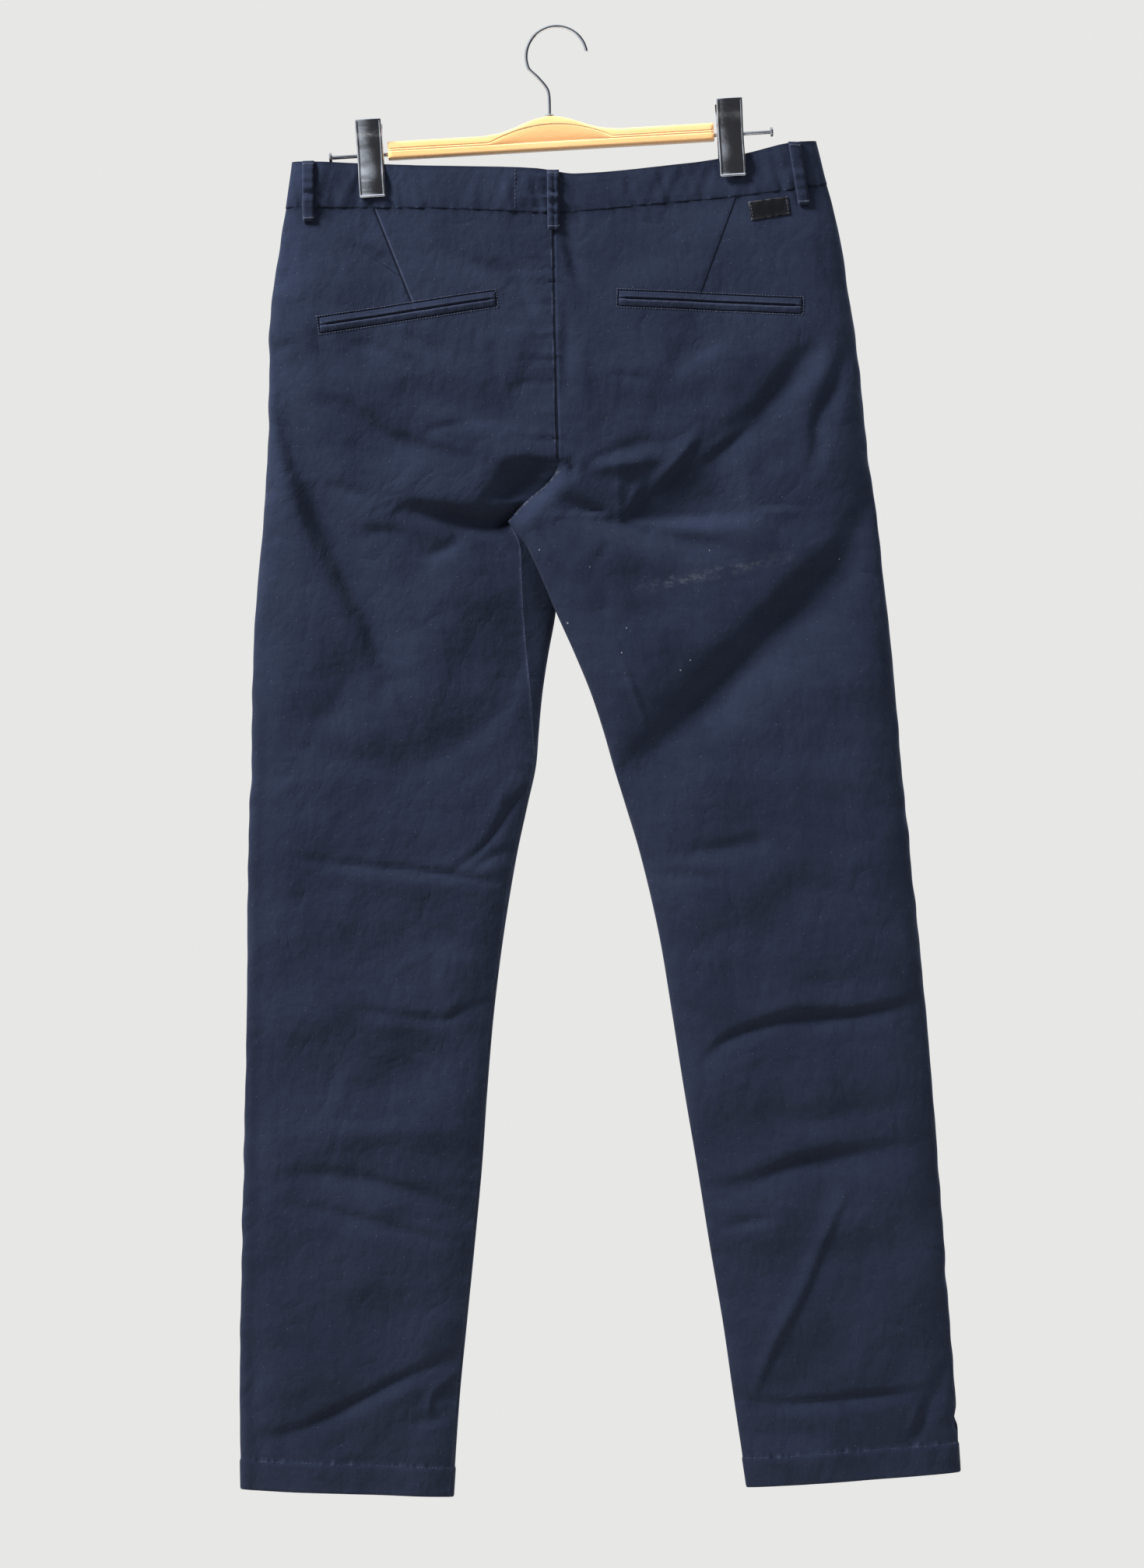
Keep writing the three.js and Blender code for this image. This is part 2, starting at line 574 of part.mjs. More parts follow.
// Clip: two sheet-metal leaves on a coiled spring
const CLIP = { width: 21, top: 32, foot: -30.4, sheet: 1.1, springRadius: 5.2,
  at: { left: -146.5, right: 145.3 } };

function clipLeaf(face) {
  const rod = HANGER.rodHeight, r = CLIP.springRadius + SEAM;
  // Side profile: distance from the garment's middle plane, and height
  const profile = [[13, CLIP.top], [11.8, CLIP.top - 6], [r + 0.4, rod + 7], [r, rod], [r + 0.6, rod - 8],
    [9.2, -16], [8.6, -22], [7.2, CLIP.foot + 3], [8.4, CLIP.foot]];
  const half = CLIP.width / 2;
  return wall(profile.length - 1, 2, (i, j, layer) => {
    const [y, z] = profile[i];
    return [mix(-half, half, j / 2), face * (y + (layer ? 0 : CLIP.sheet)), z];
  });
}

function clipSpring() {
  const inner = HANGER.rodRadius + SEAM, outer = CLIP.springRadius, half = 8;
  const profile = [[inner, -half], [outer, -half], [outer, half], [inner, half], [inner, -half]];
  const geometry = new THREE.LatheGeometry(profile.map(([r, h]) => new THREE.Vector2(r, h)), 16);
  geometry.rotateZ(Math.PI / 2);
  return geometry;
}

const cloth = (color) => new THREE.MeshStandardMaterial({ color, roughness: 0.92, metalness: 0 });
const metal = () => new THREE.MeshStandardMaterial({ color: STEEL, roughness: 0.22, metalness: 1 });

function piece(name, geometry, material) {
  const mesh = new THREE.Mesh(geometry, material);
  mesh.name = name;
  return mesh;
}

const trousers = new THREE.Group();
for (const half of ['left', 'right']) {
  trousers.add(piece(`back_${half}`, backPanel(half), cloth(NAVY)));
  trousers.add(piece(`front_${half}`, frontPanel(half), cloth(NAVY)));
  trousers.add(piece(`waistband_${half}`, waistband(half), cloth(NAVY)));
  trousers.add(piece(`pocket_welt_upper_${half}`, welt(half, 1), cloth(NAVY)));
  trousers.add(piece(`pocket_welt_lower_${half}`, welt(half, -1), cloth(NAVY)));
  trousers.add(piece(`pocket_edge_${half}`, pocketEdge(half), cloth(NAVY)));
}
for (const [name, loop] of Object.entries(LOOPS)) {
  trousers.add(piece(name, beltLoop(loop), cloth(NAVY)));
}
trousers.add(piece('waist_patch', waistPatch(),
  new THREE.MeshStandardMaterial({ color: BLACK_LEATHER, roughness: 0.5, metalness: 0 })));
trousers.add(piece('fly_placket', flyPlacket(), cloth(NAVY)));

const button = piece('waist_button', waistButton(),
  new THREE.MeshStandardMaterial({ color: BUTTON_NAVY, roughness: 0.4, metalness: 0 }));
const buttonX = FRONT_SEAM_X + 19;
const buttonZ = (read(BAND_TOP, 'x', 'z', buttonX) + read(WAIST_SEAM, 'x', 'z', buttonX)) / 2;
button.position.set(buttonX, bandY('left', 1, FRONT_SEAM_X, buttonZ, 0) + TAB_STEP + 0.6, buttonZ);
trousers.add(button);

const hanger = new THREE.Group();
hanger.position.set(HANGER.place[0], 0, HANGER.place[1]);
hanger.rotation.y = -HANGER.tilt;
hanger.add(piece('hanger_bar', hangerBar(),
  new THREE.MeshStandardMaterial({ color: BEECH, roughness: 0.55, metalness: 0 })));
for (const half of ['left', 'right']) {
  const rod = piece(`rod_end_${half}`, rodEnd(), metal());
  rod.position.z = HANGER.rodHeight;
  rod.rotation.z = half === 'left' ? Math.PI : 0;
  const spring = piece(`clip_spring_${half}`, clipSpring(), metal());
  spring.position.set(CLIP.at[half], 0, HANGER.rodHeight);
  const leaves = new THREE.Group();
  leaves.position.x = CLIP.at[half];
  leaves.add(piece(`clip_back_leaf_${half}`, clipLeaf(-1), metal()));
  leaves.add(piece(`clip_front_leaf_${half}`, clipLeaf(1), metal()));
  hanger.add(rod, spring, leaves);
}

const object = new THREE.Group();
const hook = piece('hanger_hook', roundWire(hookCurve(), HANGER.wireRadius, 56, 12), metal());
const collar = piece('hook_collar', hookCollar(), metal());
collar.position.set(0, 0, HANGER.humpTop + SEAM);
hanger.add(collar);
object.add(trousers, hanger, hook);

export default object;
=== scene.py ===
"""Chino trousers on a clip hanger: cloth, seams, stitches and hanger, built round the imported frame."""

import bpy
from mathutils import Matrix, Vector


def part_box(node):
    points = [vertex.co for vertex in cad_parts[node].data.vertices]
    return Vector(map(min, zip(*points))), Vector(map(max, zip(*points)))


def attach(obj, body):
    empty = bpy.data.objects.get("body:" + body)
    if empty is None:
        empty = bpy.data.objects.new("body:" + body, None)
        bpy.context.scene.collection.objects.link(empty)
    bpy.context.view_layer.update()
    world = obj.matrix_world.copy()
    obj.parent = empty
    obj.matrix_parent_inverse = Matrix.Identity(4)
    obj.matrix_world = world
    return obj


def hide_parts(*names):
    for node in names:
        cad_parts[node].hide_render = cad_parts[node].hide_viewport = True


bl_info = {
    "name": "Chino trousers on a clip hanger",
    "version": (1, 0, 0),
    "blender": (4, 5, 0),
    "location": "3D View > Sidebar > Trousers",
    "description": "Hung cotton trousers with folds, seams and stitches, on a wooden clip hanger",
    "category": "Object",
}

import math

import bmesh
import bpy
import numpy as np
from mathutils import Matrix, Vector

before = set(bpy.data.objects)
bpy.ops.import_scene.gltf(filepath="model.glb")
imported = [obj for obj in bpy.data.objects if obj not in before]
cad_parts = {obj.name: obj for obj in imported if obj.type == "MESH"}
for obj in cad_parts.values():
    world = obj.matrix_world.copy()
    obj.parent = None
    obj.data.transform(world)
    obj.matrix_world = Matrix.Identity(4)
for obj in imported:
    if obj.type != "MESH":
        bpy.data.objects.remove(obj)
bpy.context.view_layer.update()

# Shapes are worked out in millimetres, seen from behind along +Y, and made in metres
MM = 0.001

# Cloth
SEWN_GAP = 0.06             # gap between two panels that are sewn together
BAND_OUT = 0.5              # waistband's face, outside the panels' face
BAND_WALL = 2.0             # thickness of the folded band
CROTCH_Z = -400             # where the four panels meet
CROTCH_BLEND = 72           # height over which the seat parts into two legs
FRONT_SEAM_X = -3
OUTER_REACH = 38            # distance over which a leg rounds in to its side seam
INNER_REACH_CROTCH = 120    # the same at the inseam, near the crotch
INNER_REACH_LEG = 44        # and lower down
FOLD_BACK = 5               # front panel's turn past the inner fold
INSEAM_INSET = 2            # least distance of the left inseam from the inner fold
RIGHT_FORK = 36.35          # width of the right front's fork at the crotch
FORK_HEIGHT = 170           # height over which it narrows
WINDOW = {"left": 120, "right": 100}    # width of a leg that leans over or under the other
HEM_HEIGHT = 25             # turned-up hem, and how far it stands out
HEM_PROUD = 0.8
WAIST_Z = -146.5            # first and last row of a panel above its hem
HEM_STITCH_Z = -1158
CLIP_X = (-150, 141)        # where the clips press the waist in, how far, how wide and how deep down
PINCH = 3.6
PINCH_WIDTH = 42
PINCH_FADE = 75
OUTWARD = {"left": -1, "right": 1}
COLUMN = {"left": 1, "right": 2}        # of a table with a column for each half
BACK, FRONT = -1, 1

# Side seams seen from behind: height, left, right
SIDE_SEAMS = [
    (-91, -212, 209.5), (-109, -213.6, 214.2), (-126, -216, 218.6), (-145, -218.6, 223.7),
    (-180, -224.5, 231.4), (-217, -229.9, 236.6), (-248, -232.4, 241.6), (-292, -232.7, 247),
    (-330, -233.1, 250.1), (-365, -235.2, 255), (-400, -237.1, 259.8), (-443, -241.3, 264.5),
    (-506, -245.4, 271.5), (-598, -247, 279.4), (-670, -249.6, 286.6), (-796, -250.7, 299.2),
    (-922, -253.3, 309.3), (-1048, -255.8, 318.1), (-1105, -256.4, 322.6), (-1190, -255.2, 327.4),
]

# Inner folds of the legs and the left inseam: height, left, right, inseam
INNER_FOLDS = [
    (-400, 1.9, -39.2, -38), (-418, 2.2, -25.2, -29.6), (-443, 1.9, -13.1, -28.1),
    (-475, -0.9, 0.5, -26.5), (-506, -6.5, 14.5, -24), (-538, -11.3, 27.7, -20.8),
    (-569, -14.2, 38, -18.5), (-598, -16.6, 46.3, -18), (-626, -22.7, 55, -24.7),
    (-670, -32.1, 68.2, -34), (-733, -42.5, 82.9, -44.5), (-796, -50.4, 93.4, -52.4),
    (-859, -55.8, 103.3, -58), (-922, -60.2, 114, -62), (-985, -66.1, 124.1, -68),
    (-1048, -72.4, 134.8, -74), (-1105, -78, 143, -80), (-1190, -83.8, 155.8, -86),
]
INSEAM_COLUMN = 3
SEAT_SEAM = [
    (-110, -2.2), (-150, -1.9), (-229, -0.9), (-294, 0.6), (-345, 1.8), (-357, 0.6),
    (-368, -7), (-382, -23.3), (-400, -39.2),
]
WAIST_SEAM = [
    (-219, -145.5), (-103, -146.2), (-16, -149.9), (6, -149.9), (123, -138.6), (195, -130.4),
    (219, -126),
]
BAND_TOP = [
    (-214, -108.7), (-161, -110.2), (-103, -112.5), (-16, -114.7), (16, -119.1), (104, -110.6),
    (153, -102.1), (186, -94.5), (210, -91.7),
]
HEM_EDGE = {
    "left": [(-256, -1181.9), (-83, -1188.2)],
    "right": [(154, -1180.6), (327, -1168)],
}
DEPTHS = [
    (-90, 8), (-146, 9), (-200, 11.5), (-280, 14), (-350, 14), (-400, 13), (-520, 12.5),
    (-700, 11.5), (-900, 10), (-1100, 8.5), (-1190, 7.5),
]
LEAN = [(-400, 8.7), (-430, 8.9), (-520, 7), (-650, 0), (-1190, 0)]

# Back pockets' slits, darts from waist to pocket, and belt loops: half, face, middle, top, lean, length
POCKETS = {
    "left": ((-190.6, -242.1), (-49.3, -220.4)),
    "right": ((50.4, -219.9), (197.6, -226.5)),
}
WELT_HEIGHT, WELT_SLIT = 5.2, 1.2
DARTS = {
    "left": ((-147.4, -147.4), (-115.6, -226.8)),
    "right": ((145.2, -139.2), (116.2, -218)),
}
LOOPS = {
    "belt_loop_left": ("left", BACK, -200.4, -108.9, 0.4, 49),
    "belt_loop_centre": ("right", BACK, -2.8, -116.4, 0.6, 48.5),
    "belt_loop_right": ("right", BACK, 191.8, -93.6, 8.4, 51),
    "belt_loop_front_left": ("left", FRONT, -104, -112.6, 0, 49),
    "belt_loop_front_right": ("right", FRONT, 98, -111.4, 0, 49),
}
LOOP_WIDTH = 9.8
PATCH = ((155, -141.4), (186.8, -137.2), (188.6, -151.6), (157.5, -156.9))
FLY = {"width": 36, "overlap": 2.5, "straight": 110, "depth": 172}
TAB_LENGTH, TAB_STEP = 32, 3.4

# Hanger, in its own tilted frame: x along the bar, z up from the bar's lower edge
HANGER_PLACE = (-4, -99.2)
HANGER_TILT = math.radians(3.35)
BAR_HALF, BAR_END, BAR_THICK = 132, 14.2, 12
HUMP_HALF, HUMP_TOP = 50, 27.2
ROD_HEIGHT, ROD_RADIUS, ROD_TIP = 4.6, 1.6, 180
HEAD_RADIUS, HEAD_THICK = 4, 2.4
WIRE_RADIUS, HOOK_RADIUS = 1.5, 24.6
CLIP_AT = {"left": -146.5, "right": 145.3}
CLIP_WIDTH, CLIP_TOP, CLIP_FOOT, CLIP_SHEET, SPRING_RADIUS = 21, 32, -30.4, 1.1, 5.2

# Photograph's frame at the cloth, as the camera sees it
VIEW_CENTRE = (12.6, -611.7)
VIEW_HEIGHT = 1268.8
CAMERA_DISTANCE = 3000
SENSOR = 36


def smooth(t):
    """Soft step from 0 to 1."""
    t = np.clip(t, 0.0, 1.0)
    return t * t * (3.0 - 2.0 * t)


def mix(a, b, t):
    return a + (b - a) * t


def read(table, at, column=1):
    """Smooth curve through one column of a table, against its first."""
    rows = np.array(sorted(table), float)
    key, value = rows[:, 0], rows[:, column]
    last = len(key) - 1
    at = np.asarray(at, float)
    i = np.clip(np.searchsorted(key, at) - 1, 0, last - 1)
    span = key[i + 1] - key[i]
    t = np.clip((at - key[i]) / span, 0.0, 1.0)
    before, after = np.maximum(i - 1, 0), np.minimum(i + 2, last)
    start = (value[i + 1] - value[before]) / (key[i + 1] - key[before]) * span
    end = (value[after] - value[i]) / (key[after] - key[i]) * span
    rise = (value[i + 1] - value[i]) * t * t * (3 - 2 * t)
    return value[i] + rise + start * t * (1 - t) ** 2 - end * t * t * (1 - t)


def smooth_path(points, steps=7):
    """A path through given points, rounded at each."""
    p = np.array([points[0], *points, points[-1]], float)
    t = np.linspace(0, 1, steps, endpoint=False)[:, None]
    out = []
    for i in range(1, len(p) - 2):
        a, b, c, d = p[i - 1], p[i], p[i + 1], p[i + 2]
        out.append(b + 0.5 * t * (c - a + t * (2 * a - 5 * b + 4 * c - d + t * (3 * (b - c) + d - a))))
    return np.vstack([*out, p[-1:]])


def nearest(line, x, z):
    """Distance from points to a path, the place along it (0 to 1) and the side (-1 or 1)."""
    a, b = line[:-1], line[1:]
    run = b - a
    length = np.maximum((run ** 2).sum(1), 1e-9)
    px, pz = x[:, None] - a[:, 0], z[:, None] - a[:, 1]
    t = np.clip((px * run[:, 0] + pz * run[:, 1]) / length, 0, 1)
    gap = np.hypot(px - t * run[:, 0], pz - t * run[:, 1])
    k = gap.argmin(1)
    row = np.arange(len(x))
    side = np.sign(run[k, 0] * pz[row, k] - run[k, 1] * px[row, k])
    return gap[row, k], (k + t[row, k]) / len(a), side


class Fold:
    """A soft trough or ridge along a path. Lean makes its left side (above 0) the steeper one.

    Paths follow the shaded line of a trough or the lit line of a ridge in the photograph. Its bottom or
    crest lies a little further from the light, to the lower right, by a share of the width.
    """

    def __init__(self, points, width, rise, lean=0.0, shift=0.6):
        self.line = smooth_path(points) + shift * width * np.array([0.75, -0.66])
        self.width, self.rise, self.lean = width, rise, lean

    def lift(self, x, z):
        out = np.zeros_like(x)
        margin = self.width * 3
        low, high = self.line.min(0) - margin, self.line.max(0) + margin
        inside = (x > low[0]) & (x < high[0]) & (z > low[1]) & (z < high[1])
        if inside.any():
            gap, along, side = nearest(self.line, x[inside], z[inside])
            width = self.width * (1 - self.lean * side)
            taper = 0.12 + 0.88 * np.sin(np.pi * np.clip(along, 0.02, 0.98)) ** 0.7
            out[inside] = self.rise * taper * np.exp(-((gap / width) ** 2))
        return out


def waves(x, z, seed, length, count=8):
    """Even low waviness, from a few fixed waves in all directions."""
    rng = np.random.default_rng(seed)
    total = np.zeros_like(x)
    for _ in range(count):
        angle, phase = rng.uniform(0, np.pi), rng.uniform(0, 2 * np.pi)
        wave = length * rng.uniform(0.65, 1.6)
        total += np.sin((x * np.cos(angle) + z * np.sin(angle)) * 2 * np.pi / wave + phase)
    return total / math.sqrt(count)


def wobble(along, seed, length):
    """Uneven puckers along a seam, between about -1 and 1."""
    rng = np.random.default_rng(seed)
    total = np.zeros_like(along)
    for share in (1.0, 0.61, 1.73):
        total += np.sin(along * 2 * np.pi / (length * share) + rng.uniform(0, 6.3))
    swell = 0.6 + 0.4 * np.sin(along * 2 * np.pi / (length * 7.3) + rng.uniform(0, 6.3))
    return total / 1.9 * swell


def sharpened(value):
    """Makes puckers narrow in their hollows and wide between."""
    return value - 0.45 * np.exp(-(((value + 0.75) / 0.3) ** 2))


BACK_FOLDS = [
    # Left hip: one long fold from the side seam down across the thigh
    Fold([(-232, -262), (-226, -305), (-215, -345), (-197, -392), (-178, -433), (-158, -472), (-138, -522)],
         15, -9.5, -0.35, 0.35),
    Fold([(-236, -290), (-226, -330), (-212, -370), (-195, -410), (-176, -450), (-158, -492), (-134, -538)],
         24, 3.6, 0.3, 0.0),
    Fold([(-231, -265), (-222, -257), (-206, -255)], 3, -1.3),
    Fold([(-241, -417), (-226, -409)], 3.5, -1.4),
    # Left seat
    Fold([(-198, -241), (-194, -255), (-183, -276)], 8, -1.4),
    Fold([(-164, -253), (-150, -256), (-138, -262), (-124, -268), (-112, -270)], 6, -1.5, 0.3),
    Fold([(-129, -248), (-107, -255), (-89, -264)], 8, -1.5),
    Fold([(-115, -277), (-104, -291), (-92, -301), (-76, -309), (-54, -312), (-20, -311)], 13, -2.8, -0.4),
    Fold([(-200, -299), (-178, -302), (-157, -316), (-143, -327), (-125, -333), (-90, -343), (-62, -347)],
         10, -2.6, 0.35),
    Fold([(-195, -285), (-160, -296), (-130, -312), (-110, -322)], 16, 1.6),
    Fold([(-105, -325), (-90, -321), (-71, -318)], 3.5, -1.5, 0.3),
    Fold([(-173, -328), (-152, -345), (-135, -351)], 9, -1.1),
    Fold([(-188, -367), (-169, -373), (-149, -379)], 6, -1.3, 0.3),
    Fold([(-52, -252), (-51, -278)], 5, -0.7),
    Fold([(-21, -244), (-17, -262), (-19, -280)], 5, -0.6),
    Fold([(-36, -250), (-34, -276)], 6, 0.5),
    Fold([(-38, -228), (-20, -230), (-11, -239), (-3, -239)], 4, -0.7),
    Fold([(-51, -238), (-37, -240), (-26, -241)], 4, -0.6),
    Fold([(-38, -296), (-27, -288), (-3, -283)], 4, -0.9),
    Fold([(-15, -274), (-2, -278)], 3, -0.6),
    Fold([(-13, -299), (-1, -301)], 3, -0.6),
    Fold([(-44, -204), (-34, -208), (-26, -218), (-20, -232)], 5, -2.2),
    Fold([(-91, -163), (-84, -180), (-70, -191), (-45, -196), (-22, -195)], 8, -2.0),
    Fold([(-169, -175), (-149, -183), (-129, -198)], 4, -0.9, 0.3),
    Fold([(-164, -165), (-142, -178), (-124, -190)], 7, 0.9),
    # The seat hangs over the top of the left leg
    Fold([(-128, -382), (-115, -379), (-98, -383), (-80, -386), (-62, -388), (-48, -385), (-34, -376)],
         14, 3.0, -0.5, 0.1),
    Fold([(-124, -388), (-98, -391), (-80, -395), (-62, -396), (-45, -394), (-31, -386), (-14, -368),
          (1, -354)], 8, -7.2, 0.2, 0.35),
    Fold([(-50, -349), (-28, -346), (-8, -347)], 9, 2.2, -0.5, 0.1),
    Fold([(-48, -357), (-28, -356), (-8, -356), (2, -354)], 7, -2.6, 0.3),
    Fold([(-50, -378), (-26, -369), (-6, -360)], 12, -9.0, 0, 0.2),
    # Left thigh
    Fold([(-157, -408), (-143, -406), (-121, -408)], 4, -1.4, 0.3),
    Fold([(-109, -428), (-96, -422), (-84, -416), (-83, -407)], 4.5, -1.7),
    Fold([(-116, -437), (-99, -438)], 3, -0.8),
    Fold([(-142, -412), (-112, -419), (-88, -412)], 11, -1.3),
    Fold([(-201, -556), (-183, -548), (-176, -536), (-168, -514)], 9, -1.4),
    Fold([(-198, -584), (-165, -587), (-142, -594), (-124, -617), (-95, -656)], 14, -2.2, -0.3),
    Fold([(-120, -596), (-102, -579), (-78, -567), (-56, -549), (-42, -525), (-36, -498)], 15, -2.4, -0.2),
    Fold([(-130, -480), (-110, -520), (-100, -560)], 24, 1.4),
    # Right seat, beside the seam
    Fold([(4, -162), (8, -178), (12, -190), (16, -207)], 6, -2.6, -0.2),
    Fold([(7, -228), (5, -262), (6, -303)], 5, -0.9),
    Fold([(20, -240), (17, -268), (19, -297), (26, -306)], 7, 1.1),
    Fold([(45, -280), (62, -282), (73, -286)], 3.5, -1.3, 0.3),
    Fold([(88, -279), (105, -262), (130, -250)], 10, -1.8, -0.3),
    Fold([(40, -296), (75, -306), (105, -300)], 12, -1.2),
    # Right seat: the long diagonal folds from the hip to the crotch
    Fold([(213, -249), (193, -265), (178, -284), (162, -304), (143, -320), (125, -336), (110, -353)],
         12.5, -4.4, -0.3),
    Fold([(154, -316), (139, -328), (126, -338), (113, -349)], 4.5, 2.0, 0.35),
    Fold([(112, -328), (99, -345), (88, -358), (73, -373)], 5, 3.0, 0.35),
    Fold([(67, -367), (60, -380), (54, -393)], 4.5, 2.4, 0.35),
    Fold([(50, -394), (82, -394), (114, -393), (156, -391)], 25, -11.0, -0.6, 0.0),
    Fold([(241, -247), (230, -267), (219, -293), (208, -316), (206, -338), (202, -354)], 7.5, -2.8, -0.2),
    Fold([(219, -247), (206, -284), (189, -303)], 9, 1.6),
    Fold([(160, -355), (175, -345), (190, -350)], 9, -1.0),
    # Right thigh, from the crotch outwards
    Fold([(24, -350), (40, -343), (58, -336), (80, -332)], 8, -2.2, 0.3),
    Fold([(25, -356), (45, -352), (67, -349), (86, -345)], 6, 1.8, -0.4),
    Fold([(32, -361), (48, -362), (66, -365)], 7, -1.8),
    Fold([(10, -352), (13, -366)], 3.5, -2.4),
    Fold([(-12, -375), (8, -382), (30, -391), (54, -402), (77, -406), (99, -410), (128, -414)],
         9, -4.0, 0.35),
    Fold([(88, -410), (112, -417), (134, -420), (141, -431)], 9, -2.0),
    Fold([(0, -396), (30, -407), (60, -420), (95, -432)], 15, 1.6),
    Fold([(-18, -398), (-9, -413), (4, -431)], 5, -1.7, -0.3),
    Fold([(40, -410), (36, -424), (28, -436)], 4, -1.1),
    Fold([(8, -441), (31, -452), (36, -474)], 9, -1.2),
    Fold([(257, -335), (252, -366), (237, -403), (222, -427), (199, -449), (173, -476), (147, -502),
          (122, -527), (98, -553), (74, -576), (44, -598), (15, -618)], 23, -8.2, -0.35, 0.4),
    Fold([(225, -395), (190, -424), (150, -458), (115, -490)], 22, 2.0),
    Fold([(51, -505), (58, -527), (66, -548), (71, -561)], 3, 1.0, 0.3),
    # Left lower leg
    Fold([(-215, -670), (-164, -675), (-121, -679), (-86, -683), (-60, -687), (-35, -687)], 3.6, -2.0, 0.35),
    Fold([(-190, -682), (-140, -688), (-90, -692)], 8, 1.0),
    Fold([(-88, -682), (-60, -660), (-39, -630), (-18, -607)], 3.2, -1.6, 0.3),
    Fold([(-70, -679), (-47, -666), (-31, -664)], 3.5, -1.6),
    Fold([(-60, -645), (-40, -612)], 6, 1.0),
    Fold([(-128, -752), (-112, -775), (-94, -790)], 14, -1.6),
    Fold([(-165, -793), (-130, -796), (-95, -800), (-73, -790), (-50, -785)], 4, -1.5, 0.3),
    Fold([(-200, -880), (-160, -852), (-115, -825), (-84, -812)], 24, -2.4),
    Fold([(-228, -889), (-160, -889), (-95, -888), (-60, -892)], 10, 1.4),
    Fold([(-225, -924), (-181, -924), (-138, -933), (-104, -942), (-67, -959)], 7, -1.9, 0.3),
    Fold([(-212, -950), (-155, -961), (-117, -972), (-72, -981)], 6, -1.5, 0.3),
    Fold([(-80, -1070), (-117, -1084), (-160, -1106), (-203, -1127), (-243, -1137)], 6, -2.4, -0.35),
    Fold([(-95, -1086), (-130, -1100), (-170, -1120)], 9, 1.3),
    Fold([(-104, -1119), (-101, -1101), (-77, -1083)], 3.5, 1.5),
    Fold([(-125, -1124), (-105, -1124), (-86, -1116)], 5, -1.3),
    # Right lower leg
    Fold([(98, -665), (135, -660), (166, -654)], 7, -1.9, 0.2),
    Fold([(66, -680), (100, -684), (134, -685)], 6, -1.5),
    Fold([(200, -640), (180, -670), (150, -700)], 18, 1.4),
    Fold([(94, -789), (116, -794)], 4, -1.2),
    Fold([(115, -834), (128, -820), (143, -811), (181, -798), (229, -796), (268, -789), (300, -780)],
         5.8, -2.5, 0.45),
    Fold([(150, -800), (190, -788), (235, -785), (285, -775)], 9, 1.6, -0.3),
    Fold([(170, -872), (210, -878), (250, -868), (296, -862)], 10, -1.1),
    Fold([(119, -935), (156, -928), (190, -915), (229, -907), (296, -898)], 8, -2.6, 0.3),
    Fold([(140, -920), (190, -902), (240, -893)], 10, 1.2),
    Fold([(124, -972), (147, -965), (169, -963)], 3.5, -1.5),
    Fold([(230, -941), (220, -963), (207, -993), (194, -1024), (177, -1054), (164, -1084), (157, -1103)],
         5, 2.0, 0.3),
    Fold([(156, -1110), (207, -1108), (251, -1103), (300, -1097)], 5, -2.4, 0.4),
    Fold([(322, -1064), (303, -1101), (290, -1127), (285, -1142)], 7, -2.0),
    Fold([(292, -1112), (283, -1134)], 4, 1.2),
    Fold([(155, -1128), (180, -1136), (210, -1132)], 10, -1.4),
]
FRONT_FOLDS = [
    Fold([(-222, -300), (-150, -380), (-70, -420)], 15, -2.4, 0.2),
    Fold([(-205, -265), (-120, -320), (-40, -345)], 10, -1.3),
    Fold([(236, -310), (160, -385), (80, -425)], 15, -2.6, -0.2),
    Fold([(225, -280), (140, -330), (60, -352)], 9, -1.2),
    Fold([(-40, -372), (-95, -405), (-165, -425)], 7, 1.4),
    Fold([(36, -376), (100, -412), (180, -438)], 7, 1.5),
    Fold([(-215, -470), (-160, -540), (-95, -600)], 20, -2.2),
    Fold([(245, -480), (190, -545), (110, -600)], 20, -2.2),
    Fold([(-200, -690), (-130, -682), (-60, -675)], 6, -1.8, 0.3),
    Fold([(-190, -745), (-110, -760), (-62, -752)], 5, -1.1),
    Fold([(270, -742), (190, -768), (130, -790)], 6, -1.9, 0.3),
    Fold([(262, -840), (190, -832), (128, -850)], 5, -1.2),
    Fold([(-222, -905), (-150, -930), (-75, -935)], 7, -1.2),
    Fold([(300, -950), (220, -975), (135, -985)], 7, -1.3),
    Fold([(-200, -1110), (-140, -1126), (-92, -1112)], 6, -1.2),
    Fold([(175, -1118), (240, -1104), (305, -1112)], 6, -1.2),
]


def settings():
    return bpy.context.scene.trousers


def leg_share(z):
    """0 over the seat and 1 down the legs."""
    return smooth((CROTCH_Z + CROTCH_BLEND - z) / CROTCH_BLEND)


def outer_x(half, z):
    """Side seam's place, with a little unevenness so that the edge isn't ruled."""
    uneven = 0.5 * wobble(np.asarray(z, float), 11 if half == "left" else 12, 47)
    notch = -2.4 * np.exp(-(((z + 1129) / 5) ** 2)) if half == "right" else 0.0
    return read(SIDE_SEAMS, z, COLUMN[half]) + uneven + notch


def seat_x(z):
    return read(SEAT_SEAM, z)


def inner_x(half, face, z):
    """The inner fold's place, carried on above the crotch."""
    fold = read(INNER_FOLDS, np.minimum(z, CROTCH_Z), COLUMN[half])
    if half == "right" and face == BACK:
        return np.where(z >= CROTCH_Z, seat_x(z), fold)
    return fold


def inseam_x(z):
    return np.minimum(read(INNER_FOLDS, z, INSEAM_COLUMN), inner_x("left", BACK, z) - INSEAM_INSET)


def round_in(distance, reach):
    """Quarter-round run-in of a folded edge: 0 on the edge, 1 at its reach."""
    return np.sqrt(1 - (1 - np.clip(distance / reach, 0, 1)) ** 2)


def pinch_at(x, z):
    pinch = sum(PINCH * np.exp(-(((x - clip) / PINCH_WIDTH) ** 2)) for clip in CLIP_X)
    return pinch * (1 - smooth((read(WAIST_SEAM, x) - z) / PINCH_FADE))


